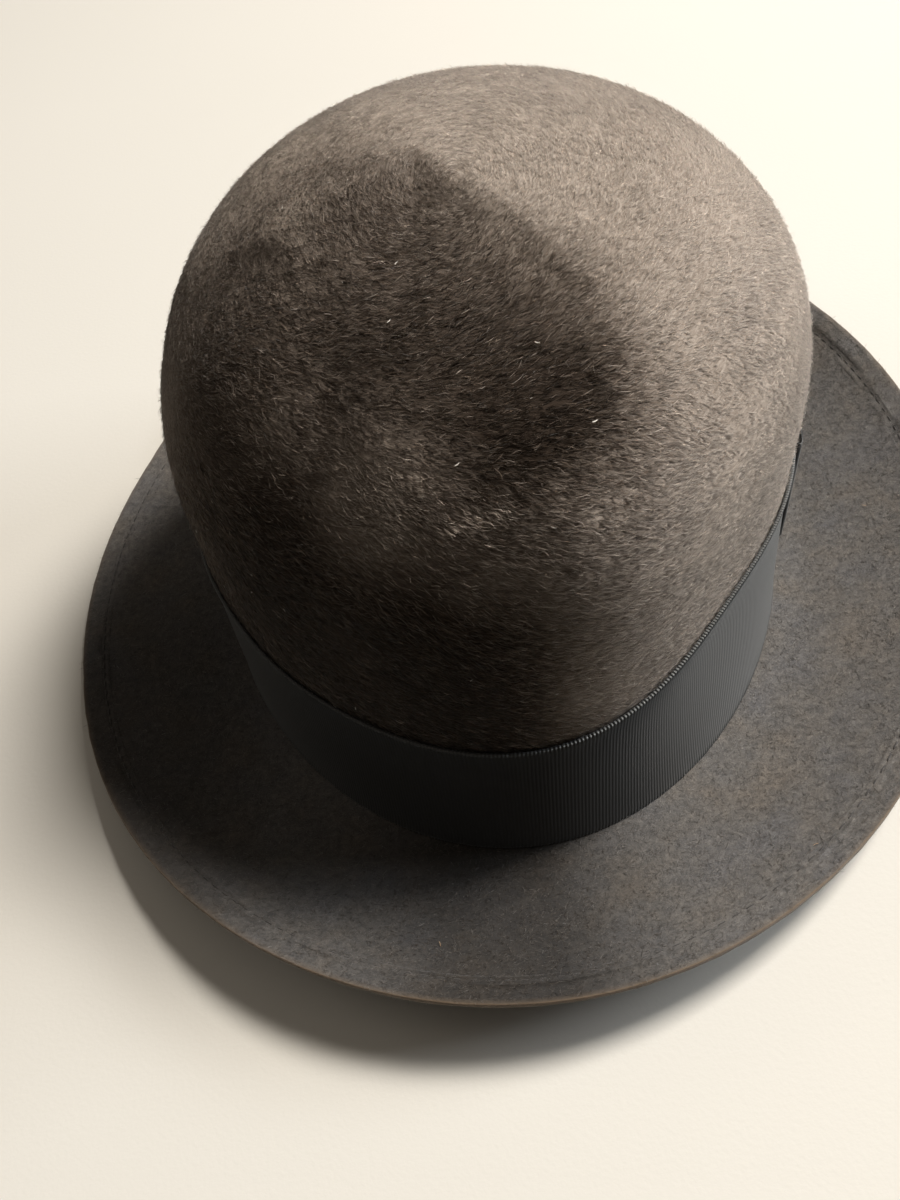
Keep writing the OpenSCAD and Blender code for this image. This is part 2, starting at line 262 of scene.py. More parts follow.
def slumped(plan, z):
    """Lifts a plan to height z, leaning and tilting it more towards the top."""
    k = np.maximum(0, z) / CROWN_H
    x, y = split(plan)
    tilt = (-TILT * x / 90 + 4.8 * y / 100) * k * k
    return vec(x + SLUMP * k, y - 1.4 * k, BRIM_T + z + tilt)


def wall(angle, z, offset):
    k = z / WALL_H
    fade_in = np.sin(np.radians(np.clip(2 * z, 0, 90)))
    pinch = np.where(z <= 0, 0, np.where(z >= 45, 1, fade_in))
    shape = HALF_X * (1 + BULGE * k), HALF_Y * (1 - 0.011 * k), pinch
    return slumped(offset_outline(angle, offset, *shape), z)


def dome(angle, u, offset):
    """u runs from 0 at the wall to 1 at the top."""
    turn = np.radians(u * 90)
    power = 2 / DOME_POWER
    shrink = np.maximum(np.cos(turn), 0) ** power
    z = WALL_H + (CROWN_H + offset - WALL_H) * np.sin(turn) ** power
    plan = outline(angle, HALF_X * (1 + BULGE) + offset, HALF_Y * 0.989 + offset, 1 - u)
    return slumped(plan * shrink[..., None], z)


# length up the crown's surface, so that it can be sampled evenly from brim to top
DOME_U = np.linspace(0, 1, 4001)
_turn = np.radians(DOME_U * 90)
_reach = HALF_X * 1.1 * np.maximum(np.cos(_turn), 0) ** (2 / DOME_POWER)
_rise = (CROWN_H - WALL_H) * np.sin(_turn) ** (2 / DOME_POWER)
DOME_ARC = running_length(np.hypot(np.diff(_reach), np.diff(_rise)))
MERIDIAN = WALL_H + DOME_ARC[-1]


def crown_at(angle, level, offset):
    """A point of the crown, level from 0 at the foot to 1 at the top."""
    length = level * MERIDIAN
    z = np.clip(length, 0.2, WALL_H)
    u = np.interp(np.clip(length - WALL_H, 0, None), DOME_ARC, DOME_U)
    on_wall = (length <= WALL_H)[..., None]
    return shaped(np.where(on_wall, wall(angle, z, offset), dome(angle, u, offset)))


def inside_pt(angle, z, offset):
    return shaped(wall(angle, z - BRIM_T, offset))


def edge_rise(angle):
    turn = np.radians(angle)
    twist = np.sin(2 * turn) + 0.3 * np.cos(3 * turn) - 0.1 * np.sin(3 * turn)
    rise = EDGE_MEAN + EDGE_SIDE * np.cos(turn) - 0.5 * np.sin(turn)
    rise = rise - EDGE_ENDS * np.cos(2 * turn) + EDGE_TWIST * twist
    return np.where(rise > 2, rise, 2 * np.exp((np.minimum(rise, 2) - 2) / 2))


def edge_width(angle):
    turn = np.radians(angle)
    return BRIM_W + 1.2 * np.sin(turn) - 0.5 * np.cos(turn) + 1.4 * np.cos(2 * turn)


def brim_pt(angle, out, height):
    """A point of the brim, out from the crown's foot and height above the underside."""
    k = np.maximum(0, out - BRIM_FLAT) / (edge_width(angle) - BRIM_FLAT)
    x, y = split(offset_outline(angle, out))
    return vec(x, y, edge_rise(angle) * k**1.4 + height)


def band_flare(z):
    return 0.50 * hump(RIBBON_H - z, 3.2) + 0.25 * hump(z, 2.5)


def on_band(along, z, offset):
    """A point of the bow: along the band from its middle, z above the brim, off the felt."""
    angle = (4 + along / HALF_Y * 57.3) % 360
    return shaped(wall(angle, z, offset + band_flare(z) * 0.9))


def surface_frame(points):
    """Outward normals and tangents of a grid with rows up the crown and columns round it."""
    around = np.roll(points, -1, 1) - np.roll(points, 1, 1)
    return unit(np.cross(around, np.gradient(points, axis=0))), unit(around)


# ---------------------------------------------------------------- meshes
def make_mesh(name, points, faces, rides=True, attrs=None):
    mesh = bpy.data.meshes.new(name)
    points = np.asarray(points, np.float32).reshape(-1, 3) * MM
    if isinstance(faces, np.ndarray):
        mesh.vertices.add(len(points))
        mesh.vertices.foreach_set("co", points.ravel())
        mesh.loops.add(faces.size)
        mesh.loops.foreach_set("vertex_index", faces.astype(np.int32).ravel())
        mesh.polygons.add(len(faces))
        mesh.polygons.foreach_set("loop_start", np.arange(0, faces.size, 4, dtype=np.int32))
        mesh.polygons.foreach_set("loop_total", np.full(len(faces), 4, np.int32))
        mesh.update(calc_edges=True)
    else:
        mesh.from_pydata(points.tolist(), [], faces)
    mesh.validate(verbose=False)
    mesh.update()
    shade_smooth(mesh)
    for key, data in (attrs or {}).items():
        is_vector = np.ndim(data) == 2
        layer = mesh.attributes.new(key, "FLOAT_VECTOR" if is_vector else "FLOAT", "POINT")
        layer.data.foreach_set("vector" if is_vector else "value", np.float32(data).ravel())
    piece = bpy.data.objects.new(name, mesh)
    bpy.context.scene.collection.objects.link(piece)
    if rides:
        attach(piece, "root")
    return piece


def shade_smooth(mesh):
    mesh.polygons.foreach_set("use_smooth", np.full(len(mesh.polygons), True))


def add_piece(name, shape, material, slot, replaces, recalc=True, **attrs):
    """Adds a piece of the hat; shape is its points and faces."""
    piece = make_mesh(name, *shape, attrs=attrs)
    if recalc:
        bm = bmesh.new()
        bm.from_mesh(piece.data)
        bmesh.ops.recalc_face_normals(bm, faces=bm.faces)
        bm.to_mesh(piece.data)
        bm.free()
        shade_smooth(piece.data)
    piece.data.materials.append(material.data)
    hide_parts(replaces)


def grid_faces(rows, cols, start=0, wrap=True, flip=False):
    """Quads between the rows of a grid."""
    i = np.arange(cols if wrap else cols - 1)
    row = start + np.arange(rows - 1)[:, None] * cols
    after = (i + 1) % cols
    faces = vec(row + i, row + after, row + cols + after, row + cols + i).reshape(-1, 4)
    return faces[:, ::-1] if flip else faces


def loop_mesh(rings):
    """Closed band: a grid whose rows close as well as its columns."""
    rows, cols = rings.shape[:2]
    i = np.arange(cols)
    after = (i + 1) % cols
    last = (rows - 1) * cols
    closing = vec(last + i, last + after, after, i)
    return rings.reshape(-1, 3), np.vstack([grid_faces(rows, cols), closing])


def dome_shell(outer, inner, top, under):
    """Double skin joined at its foot, each skin closing on its own pole."""
    points, faces = loop_mesh(np.concatenate([outer, inner]))
    rows, cols = outer.shape[:2]
    faces = faces[np.arange(len(faces)) // cols != rows - 1]
    i = np.arange(cols)
    after = (i + 1) % cols
    outer_row, inner_row, pole = (rows - 1) * cols, rows * cols, len(points)
    fans = vec(outer_row + i, outer_row + after, pole).tolist()
    fans += vec(inner_row + i, pole + 1, inner_row + after).tolist()
    return np.vstack([points, top, under]), faces.tolist() + fans


def grid_normal(grid):
    return unit(np.cross(np.gradient(grid, axis=1), np.gradient(grid, axis=0)))


def sheets(grids, thickness):
    """Closed thin sheets as one mesh; grids holds pairs of middle points and normals."""
    all_points, all_faces, start = [], [], 0
    for middle, normal in grids:
        rows, cols = middle.shape[:2]
        count = rows * cols
        last = count - cols
        i, j = np.arange(cols - 1), np.arange(rows - 1) * cols

        def rim(a, b):
            return vec(a, b, b + count, a + count) + start

        all_points += [(middle + normal * side * thickness / 2).reshape(-1, 3) for side in (1, -1)]
        all_faces += [
            grid_faces(rows, cols, start, wrap=False),
            grid_faces(rows, cols, start + count, wrap=False, flip=True),
            rim(i, i + 1)[:, ::-1],
            rim(last + i, last + i + 1),
            rim(j, j + cols),
            rim(j + cols - 1, j + 2 * cols - 1)[:, ::-1],
        ]
        start += 2 * count
    return np.vstack(all_points), np.vstack(all_faces)


def weave(along, across):
    """Place in the cloth, in metres, for its weave."""
    return vec(along, across, 0.0).reshape(-1, 3) * MM


def stitches(name, start, end, normal, width, material, slot, replaces, arch, sink):
    """Short rounded threads that arch off the surface and dive in at both ends."""
    rings, sides = 9, 8
    run = end - start
    along = unit(run)
    normal = unit(normal - along * (normal * along).sum(-1, keepdims=True))
    side = np.cross(along, normal)
    k = np.linspace(0, 1, rings)
    rise = np.sin(np.pi * k) ** 0.6
    lift = (arch * rise - sink * (1 - rise))[None, :, None]
    centre = start[:, None] + run[:, None] * k[None, :, None] + normal[:, None] * lift
    taper = np.sqrt(np.clip(1 - np.abs(2 * k - 1) ** 6, 0, 1))
    radius = (width / 2 * np.clip(taper, 0.35, 1))[None, :, None, None]
    turn = (np.arange(sides) * 2 * np.pi / sides)[None, None, :, None]
    spokes = np.cos(turn) * side[:, None, None] + np.sin(turn) * normal[:, None, None]
    faces = []
    for first in np.arange(len(start)) * rings * sides:
        cap = np.arange(first, first + sides)
        faces += grid_faces(rings, sides, first).tolist()
        faces += [cap[::-1].tolist(), (cap + (rings - 1) * sides).tolist()]
    shape = (centre[:, :, None] + radius * spokes).reshape(-1, 3), faces
    add_piece(name, shape, material, slot, replaces)


# ---------------------------------------------------------------- shader nodes
def feed(socket, value):
    """Links a Signal to an input, or sets the input's value."""
    if isinstance(value, Signal):
        socket.id_data.links.new(value.socket, socket)
    else:
        socket.default_value = (*value, 1.0) if socket.type == "RGBA" else value


class Signal:
    """A node's output; + and * and math() add Math nodes after it."""

    def __init__(self, socket):
        self.socket = socket

    def out(self, key):
        return Signal(self.socket.node.outputs[key])

    def math(self, operation, *values):
        node = self.socket.id_data.nodes.new("ShaderNodeMath")
        node.operation = operation
        for socket, value in zip(node.inputs, (self, *values)):
            feed(socket, value)
        return Signal(node.outputs[0])

    def __add__(self, other):
        return self.math("ADD", other)

    def __mul__(self, other):
        return self.math("MULTIPLY", other)


class Material:
    """A material on one Principled shader, with short calls for the nodes it uses."""

    def __init__(self, name):
        self.data = bpy.data.materials.new(name)
        self.data.use_nodes = True
        self.nodes = self.data.node_tree.nodes
        self.nodes.clear()
        output = self.nodes.new("ShaderNodeOutputMaterial")
        shader = self.node("BsdfPrincipled")
        feed(output.inputs["Surface"], shader)
        self.shader = shader.socket.node

    def node(self, kind, settings=None, **inputs):
        node = self.nodes.new("ShaderNode" + kind)
        for key, value in (settings or {}).items():
            setattr(node, key, value)
        self.set(node, inputs)
        return Signal(node.outputs[0])

    def set(self, node, inputs):
        for key, value in inputs.items():
            feed(node.inputs[key.replace("_", " ")], value)

    def surface(self, **inputs):
        self.set(self.shader, inputs)
        return self

    def position(self):
        return self.node("TexCoord").out("Object")

    def attr(self, name, output="Fac"):
        return self.node("Attribute", {"attribute_name": name}).out(output)

    def noise(self, place, scale, detail=2.0, rough=0.5, distortion=0.0):
        return self.node("TexNoise", Vector=place, Scale=scale, Detail=detail, Roughness=rough,
                         Distortion=distortion)

    def ramp(self, factor, *stops):
        """stops are pairs of position and colour."""
        ramp = self.node("ValToRGB", Fac=factor)
        elements = ramp.socket.node.color_ramp.elements
        while len(elements) < len(stops):
            elements.new(0.5)
        for element, (position, colour) in zip(elements, stops):
            element.position = position
            element.color = (*colour, 1.0)
        return ramp

    def mix(self, factor, first, second, blend="MIX"):
        mixed = self.node("Mix", {"data_type": "RGBA", "blend_type": blend})
        for index, value in ((0, factor), (6, first), (7, second)):
            feed(mixed.socket.node.inputs[index], value)
        return mixed.out(2)

    def tint(self, colour, shade, factor=1.0):
        return self.mix(factor, colour, shade, "MULTIPLY")

    def vary(self, factor, colour, low, high):
        """The colour between low and high times its brightness."""
        return self.mix(factor, tuple(c * low for c in colour), tuple(c * high for c in colour))

    def bump(self, height, strength, distance):
        return self.node("Bump", Height=height, Strength=strength, Distance=distance)


# ---------------------------------------------------------------- materials
def crown_felt():
    m = Material("crown_felt")
    # x, y and the distance up the surface: the underfur runs round the crown
    flow = m.attr("flow", "Vector")
    fine = m.node("Mapping", Vector=flow, Scale=(380, 380, 1700))
    middle = m.node("Mapping", Vector=flow, Scale=(150, 150, 430))
    fibres = m.noise(fine, scale=1.0, detail=3, rough=0.65, distortion=0.5)
    clumps = m.noise(middle, scale=1.0, rough=0.6, distortion=0.5)
    patches = m.noise(flow, scale=42, detail=3, rough=0.55)
    low, mid, high = (0.22, 0.185, 0.155), (0.34, 0.290, 0.250), (0.50, 0.44, 0.39)
    base = m.ramp(fibres * 0.75 + clumps * 0.25, (0.34, low), (0.5, mid), (0.68, high))
    shade = m.ramp(patches, (0.30, (0.95, 0.95, 0.955)), (0.70, (1.04, 1.035, 1.03)))
    colour = m.tint(base, shade)
    # painted shade: darker by the flat attribute, which holds the nap's brushing with painted
    # shade, and painted shade between the fibres on the evenly lit front
    colour = m.mix(m.attr("flat"), colour, m.tint(colour, (0.08, 0.063, 0.050)))
    bump = m.bump(fibres * 0.8 + clumps * 0.35, strength=0.5, distance=0.0006)
    return m.surface(Base_Color=colour, Roughness=0.9, Normal=bump, Specular_IOR_Level=0.15,
                     Sheen_Weight=0.18, Sheen_Roughness=0.5, Sheen_Tint=(0.75, 0.66, 0.58))


def brim_felt():
    m = Material("brim_felt")
    place = m.position()
    patches = m.noise(place, scale=60, detail=4, rough=0.6)
    mottle = m.noise(place, scale=480, detail=3, rough=0.62)
    fibres = m.noise(place, scale=2100, rough=0.7, distortion=1.2)
    low, mid, high = (0.074, 0.072, 0.070), (0.135, 0.130, 0.126), (0.212, 0.203, 0.195)
    base = m.ramp(mottle * 0.45 + fibres * 0.55, (0.34, low), (0.5, mid), (0.66, high))
    cool_to_warm = m.ramp(patches, (0.3, (0.95, 0.98, 1.05)), (0.5, (1.0, 1.0, 1.0)),
                          (0.7, (1.10, 1.03, 0.95)))
    colour = m.tint(base, cool_to_warm)
    # painted shadow of the crown on the brim
    colour = m.mix(m.attr("laid"), colour, m.tint(colour, (0.22, 0.21, 0.20)))
    colour = m.mix(m.attr("cut"), colour, (0.20, 0.150, 0.105))  # browner cut edge
    bump = m.bump(mottle * 0.6 + fibres, strength=0.5, distance=0.00035)
    return m.surface(Base_Color=colour, Roughness=0.93, Normal=bump, Specular_IOR_Level=0.15,
                     Sheen_Weight=0.22, Sheen_Roughness=0.5, Sheen_Tint=(0.8, 0.8, 0.82))


def nap_material(name, root, tip):
    """Fibres shaded by the felt's own normals, each tilted a little its own way."""
    m = Material(name)
    intercept = m.node("HairInfo").out("Intercept")
    normal = m.attr("snormal", "Vector")
    # the tone holds random tone together with painted shade, painted shadow and painted highlight
    # from the crown and brim fields
    shade = m.ramp(
        m.attr("tone"),
        (0.0, (0.058, 0.044, 0.034)),
        (0.10, (0.165, 0.134, 0.108)),
        (0.25, (0.37, 0.320, 0.278)),
        (0.5, (0.85, 0.84, 0.83)),
        (0.92, (1.45, 1.44, 1.43)),
        (1.0, (1.9, 1.95, 2.0)),
    )
    colour = m.tint(m.mix(intercept.math("POWER", 0.7), root, tip), shade)
    return m.surface(Base_Color=colour, Roughness=0.6, Normal=normal, Specular_IOR_Level=0.25,
                     Sheen_Weight=0.20, Sheen_Roughness=0.4)


def grosgrain():
    m = Material("grosgrain")
    place = m.node("SeparateXYZ", Vector=m.attr("weave", "Vector"))
    along, across = place.out("X"), place.out("Y")
    rib = (along * (2 * math.pi / (RIB * MM))).math("SINE")
    yarn = (across * (2 * math.pi / 0.00042)).math("SINE")
    stretched = m.node("CombineXYZ", X=along * 2600, Y=across * 240, Z=0.0)
    grain = m.noise(stretched, scale=1.0, rough=0.6)
    patches = m.noise(m.position(), scale=30)
    colour = m.mix(rib.math("MULTIPLY_ADD", 0.22, 0.5),
                   (0.0048, 0.0054, 0.0060), (0.0165, 0.0190, 0.0210))
    grain_shade = m.ramp(grain, (0.3, (0.75, 0.76, 0.78)), (0.7, (1.35, 1.36, 1.36)))
    colour = m.tint(colour, grain_shade, factor=0.8)
    patch_shade = m.ramp(patches, (0.3, (0.85, 0.86, 0.88)), (0.7, (1.18, 1.17, 1.15)))
    colour = m.tint(colour, patch_shade)
    # painted highlight: the picot edges are drawn paler than the face, striped with the ribs
    from_middle = across.math("DIVIDE", RIBBON_H * MM).math("SUBTRACT", 0.5).math("ABSOLUTE")
    edge = from_middle.math("GREATER_THAN", 0.481)
    painted_edge_highlight = m.mix(rib.math("MULTIPLY_ADD", 0.5, 0.5),
                        (0.012, 0.014, 0.015), (0.095, 0.105, 0.108))
    colour = m.mix(edge * 0.65, colour, painted_edge_highlight)
    height = rib * 0.20 + (yarn * 0.10 + grain * 0.3)
    bump = m.bump(height, strength=0.55, distance=0.00022)
    # the yarns run along the ribbon, so the gloss spreads up and down across them
    tangent = m.node("Tangent", {"direction_type": "RADIAL", "axis": "Z"})
    return m.surface(Base_Color=colour, Roughness=0.50, Normal=bump, Specular_IOR_Level=1.0,
                     Anisotropic=0.8, Anisotropic_Rotation=0.25, Tangent=tangent,
                     Sheen_Weight=0.07, Sheen_Roughness=0.40, Sheen_Tint=(0.80, 0.92, 1.0))


def leather():
    m = Material("sweatband_leather")
    place = m.position()
    patches = m.noise(place, scale=26, detail=4, rough=0.6)
    fine = m.noise(place, scale=900, detail=3, rough=0.6)
    cells = m.node("TexVoronoi", {"feature": "DISTANCE_TO_EDGE"},
                   Vector=place, Scale=1050.0, Randomness=1.0)
    pebble = cells.math("SMOOTH_MIN", 0.25, 0.12)
    colour = m.ramp(patches, (0.28, (0.110, 0.047, 0.020)), (0.5, (0.165, 0.076, 0.034)),
                    (0.74, (0.235, 0.120, 0.058)))
    colour = m.mix(m.attr("wear"), colour, (0.062, 0.030, 0.016))
    creases = m.ramp(pebble, (0.0, (0.55, 0.52, 0.50)), (0.16, (1.05, 1.05, 1.05)))
    colour = m.tint(colour, creases, factor=0.6)
    roughness = fine.math("MULTIPLY_ADD", 0.22, 0.36)
    bump = m.bump(pebble * 1.6 + fine * 0.35, strength=0.5, distance=0.00022)
    return m.surface(Base_Color=colour, Roughness=roughness, Normal=bump,
                     Specular_IOR_Level=0.5, Coat_Weight=0.08, Coat_Roughness=0.4)


def satin(name, colour):
    m = Material(name)
    patches = m.noise(m.position(), scale=60, detail=3)
    place = m.node("SeparateXYZ", Vector=m.attr("weave", "Vector"))
    warp = (place.out("X") * (2 * math.pi / 0.00055)).math("SINE")
    weft = (place.out("Y") * (2 * math.pi / 0.00040)).math("SINE")
    bump = m.bump(warp * 0.5 + weft * 0.3, strength=0.20, distance=0.00008)
    return m.surface(Base_Color=m.vary(patches, colour, 0.75, 1.3), Roughness=0.30, Normal=bump,
                     Specular_IOR_Level=0.6, Sheen_Weight=0.5, Sheen_Roughness=0.25,
                     Sheen_Tint=(1.0, 0.55, 0.6))


def speckled(name, colour, scale, vary, depth, detail=3, **surface):
    """A plain colour with one noise for its variation and its relief."""
    m = Material(name)
    grain = m.noise(m.position(), scale=scale, detail=detail, rough=0.6)
    bump = m.bump(grain, strength=0.4, distance=depth)
    return m.surface(Base_Color=m.vary(grain, colour, *vary), Normal=bump, **surface)


def thread(name, colour):
    return speckled(name, colour, scale=5200, vary=(0.55, 1.5), depth=0.0001, detail=2,
                    Roughness=0.65, Specular_IOR_Level=0.3, Sheen_Weight=0.2)


# ---------------------------------------------------------------- crown
def scuffed(points):
    """Distances in x and z from the scuff and from the tuft, on the front only."""
    flat = points[..., [0, 2]]
    behind = np.where(points[..., 1] < 0, 0, 1e3)
    return segment_distance(flat, *SCUFF) + behind, np.linalg.norm(flat - TUFT, axis=-1) + behind


def brushing_and_shade(points):
    """How dark the nap is drawn: painted shade and painted highlight over the crown, partly the
    real brushing of the nap; below 0 paler, 1 and over darkest.
    """
    ridge = ridge_field(points)
    x, y, z = split(points)
    near_right, far_right = smooth(-x, 4, 30), smooth(-x, 30, 62)
    near_left, front_left = smooth(x, 8, 28), smooth(x, 14, 34) * smooth(-y, 14, 44)
    dark = 0.80 * smooth(
        ridge + 5 * near_right + 4 * front_left,
        -6 - 12 * far_right - 6 * near_left,
        14 + 16 * far_right + 4 * near_left,
    )
    # painted highlight in a band just in front of the ridge near the top; painted shade low on the
    # front and high on the +X side
    paler = 0.30 * np.exp(-((ridge - 8) ** 2) / 90) * smooth(z, 118, 128) * (1 - near_right)
    dark = dark * (1 - paler) + 0.47 * smooth(ridge, 7, 30) * (1 - smooth(z, 60, 96))
    dark = dark + 0.16 * smooth(x, 30, 54) * smooth(z, 84, 108) + pressed(points, BRUSH_AND_SHADE_MARKS)
    return np.clip(dark, -0.4, 1.4)


def evenly_lit(points, dark):
    """1 on the front and wearer's right where the nap stands and only its shades vary."""
    x, y, _ = split(points)
    return (1 - smooth(dark, 0.05, 0.55)) * smooth(-y, 30, 60) * (1 - smooth(x, 2, 24))


def build_crown():
    cols, rows = ((432, 190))
    angle = np.arange(cols)[None] * 360 / cols
    low, high = 0.2 / MERIDIAN, 0.992
    level = np.linspace(low, high, rows)[:, None]
    outer = crown_at(angle, level, 0.0)
    lumps = soft_noise(rows, cols, 7, 7, 3) * 0.05 + soft_noise(rows, cols, 1.0, 2.0, 4) * 0.05
    fade = np.clip((level * MERIDIAN - 1) / 6, 0, 1) * np.clip((1 - level) * 8, 0.2, 1)
    outer = outer + surface_frame(outer)[0] * (lumps * fade)[..., None]
    inner_level = np.linspace(high, low, 40)[:, None]
    inner = crown_at(angle, inner_level, CROWN_INNER)
    top, under = crown_at(0.0, 1.0, 0.0), crown_at(0.0, 1.0, CROWN_INNER)
    points, faces = dome_shell(outer, inner, top, under)
    levels = np.repeat(np.vstack([level, inner_level]), cols)
    length = np.append(levels, [1.0, 1.0]) * MERIDIAN
    dark = brushing_and_shade(points)
    add_piece(
        "crown_felt_shell", (points, faces), crown_felt(), "crown_felt", "crown", recalc=False,
        flow=vec(points[:, 0], points[:, 1], length) * MM,
        # painted shade for the shell: the brushing-and-shade field, and half the evenly lit front
        # as painted shade between the fibres
        flat=np.maximum(np.clip(dark, 0, 1), 0.5 * evenly_lit(points, dark)),
    )


# ---------------------------------------------------------------- fibres
STEPS = np.linspace(0, 1, 4)[None, :, None]  # along a fibre of the crown
BRIM_STEPS = np.linspace(0, 1, 3)[None, :, None]


def per_fibre(values):
    return values[:, None, None]


def strands(roots, *parts):
    """Points along fibres: roots plus each direction times its distances along the fibre."""
    return roots[:, None] + sum(direction[:, None] * run for direction, run in parts)


def add_fibres(name, points, radius, normals, tone, material, jitter, seed):
    """Single fibres as real curves; points is fibres x points x 3."""
    rng = np.random.default_rng(seed)
    count, steps = points.shape[:2]
    curves = bpy.data.hair_curves.new(name)
    curves.add_curves([steps] * count)
    curves.position_data.foreach_set("vector", (points * MM).astype(np.float32).ravel())
    taper = np.interp(np.linspace(0, 1, steps), [0, 0.35, 0.75, 1], [0.9, 1.0, 0.75, 0.30])
    normals = unit(normals + rng.normal(0, jitter, (count, 3)))
    for key, kind, domain, field, values in (
        ("radius", "FLOAT", "POINT", "value", radius[:, None] * taper[None] * MM),
        ("snormal", "FLOAT_VECTOR", "CURVE", "vector", normals),
        ("tone", "FLOAT", "CURVE", "value", tone),
    ):
        layer = curves.attributes.new(key, kind, domain)
        layer.data.foreach_set(field, values.astype(np.float32).ravel())
    curves.materials.append(material.data)
    fibres = bpy.data.objects.new(name, curves)
    bpy.context.scene.collection.objects.link(fibres)
    fibres.parent = frame["bodies"]["root"]


class Coat:
    """A grid of surface points that fibres can be planted on."""

    def __init__(self, points, keep=1.0):
        self.points = points
        self.normals, self.around = surface_frame(points)
        self.up = np.cross(self.normals, self.around)
        beside = np.roll(points, -1, 1)[:-1] - points[:-1]
        self.area = np.linalg.norm(np.cross(beside, points[1:] - points[:-1]), axis=-1) * keep

    def plant(self, count, rng):
        """Scatters roots evenly; returns them with their normals and tangents."""
        chance = (self.area / self.area.sum()).ravel()
        self.row, self.col = np.divmod(
            rng.choice(self.area.size, count, p=chance), self.points.shape[1])
        self.beside, self.above = rng.random(count)[:, None], rng.random(count)[:, None]
        directions = (unit(self.at(grid)) for grid in (self.normals, self.around, self.up))
        return self.at(self.points), *directions

    def at(self, grid):
        """Values of a grid at the planted roots."""
        rows, cols = self.points.shape[:2]
        grid = grid.reshape(rows, cols, -1)
        after = (self.col + 1) % cols

        def across(row):
            return grid[row, self.col] * (1 - self.beside) + grid[row, after] * self.beside

        low, high = across(self.row), across(self.row + 1)
        return (low * (1 - self.above) + high * self.above).squeeze()


def comb(coat, wander, count, rng, spread, top_spread):
    """Plants fibres combed round the crown, downwards on the wearer's left, loose on top."""
    roots, normals, around, up = coat.plant(count, rng)
    x, y, z = split(roots)
    angle = np.degrees(np.arctan2(y, x - 6)) % 360
    height = smooth(z, 104, 130)
    lay = -0.06 + 0.16 * bell(angle, 225, 40) + 0.55 * height
    lay = lay - 0.80 * bell(angle, 342, 58) * (1 - 0.35 * height) + coat.at(wander)
    lay = (lay + rng.normal(0, 1, count) * (spread + top_spread * height))[:, None]
    forward = unit(around * np.cos(lay) + up * np.sin(lay))
    return roots, normals, forward, np.cross(normals, forward), height


def leaned(normals, roots, lying_and_shade):
    """Brushed nap leans off the light."""
    x, _, z = split(roots)
    amount = lying_and_shade * (0.52 - 0.36 * smooth(-x, 26, 56) * smooth(z, 96, 112))
    return unit(normals + amount[:, None] * (-0.85, -0.45, -0.25))


def build_tufts(coat, wander, rng, material):
    """Tufts of three fine fibres that draw together at the tip."""
    count, each = 130000, 3
    roots, normals, forward, side, height = comb(coat, wander, count, rng, 0.17, 0.22)
    dark = brushing_and_shade(roots)
    lying_and_shade = np.clip(dark, 0, 1)
    even = evenly_lit(roots, dark)
    length = np.clip(rng.normal(2.3, 0.65, count), 1.0, 4.2) * (1 - 0.40 * height)
    length = length * (0.92 + 0.43 * lying_and_shade)
    lift = np.clip(rng.gamma(2.4, 0.10, count), 0.05, 0.8) * (1 + 0.25 * height)
    patches = coat.at(soft_noise(*coat.points.shape[:2], 7, 10, 24))
    # painted shade and painted highlight: the tone follows the brushing-and-shade field
    tone = 0.54 - 0.44 * dark + (0.050 + 0.05 * even) * rng.normal(0, 1, count) + 0.018 * patches
    scuff, tuft = scuffed(roots)
    # pale scuff and tuft, with a dark line beside the scuff
    tone = tone + 0.34 * hump(scuff, 0.8) + 0.24 * hump(tuft, 2.4) - 0.10 * hump(scuff - 3.2, 1.8)

    def rep(values):
        return np.repeat(values, each, 0)

    total = count * each
    spread = rng.normal(0, 1, (total, 2)) * np.array([0.36, 0.13])
    root = rep(roots) - rep(normals) * 0.10
    root = root + rep(forward) * spread[:, :1] + rep(side) * spread[:, 1:]
    length = per_fibre(rep(length) * np.clip(rng.normal(1, 0.18, total), 0.5, 1.5))
    curl = per_fibre(rep(rng.normal(0, 0.13, count)) + rng.normal(0, 0.07, total))
    wave = per_fibre(rng.normal(0, 0.035, total))
    wave = wave * np.sin(STEPS * 6.0 + per_fibre(rng.uniform(0, 6.28, total)))
    lift = per_fibre(rep(lift) * np.clip(rng.normal(1, 0.35, total), 0.2, 2.2))
    sideways = (curl * STEPS**2 + wave * STEPS) * length - spread[:, 1:, None] * 0.6 * STEPS
    points = strands(
        root,
        (rep(forward), STEPS * length),
        (rep(side), sideways),
        (rep(normals), lift * np.sin(STEPS * np.pi * 0.60)),
    )
    radius = np.clip(rng.normal(0.029, 0.008, total), 0.014, 0.05)
    tone = rep(tone) + rng.normal(0, 0.10, total) * (1 + 1.1 * rep(even))
    # painted highlight: a fifth of the fibres in the painted shade are drawn paler
    tone = tone + (rng.random(total) < 0.20) * rep(lying_and_shade) * rng.uniform(0.10, 0.45, total)
    tone = np.clip(tone, 0.0, 0.92)
    tone[rng.random(total) < 0.0012] = 1.0
    jitter = 0.20 + 0.14 * rep(lying_and_shade)[:, None] + 0.12 * rep(even)[:, None]
    facing = rep(leaned(normals, roots, lying_and_shade))
    add_fibres("crown_nap_fibres", points, radius, facing, tone, material, jitter, seed=12)


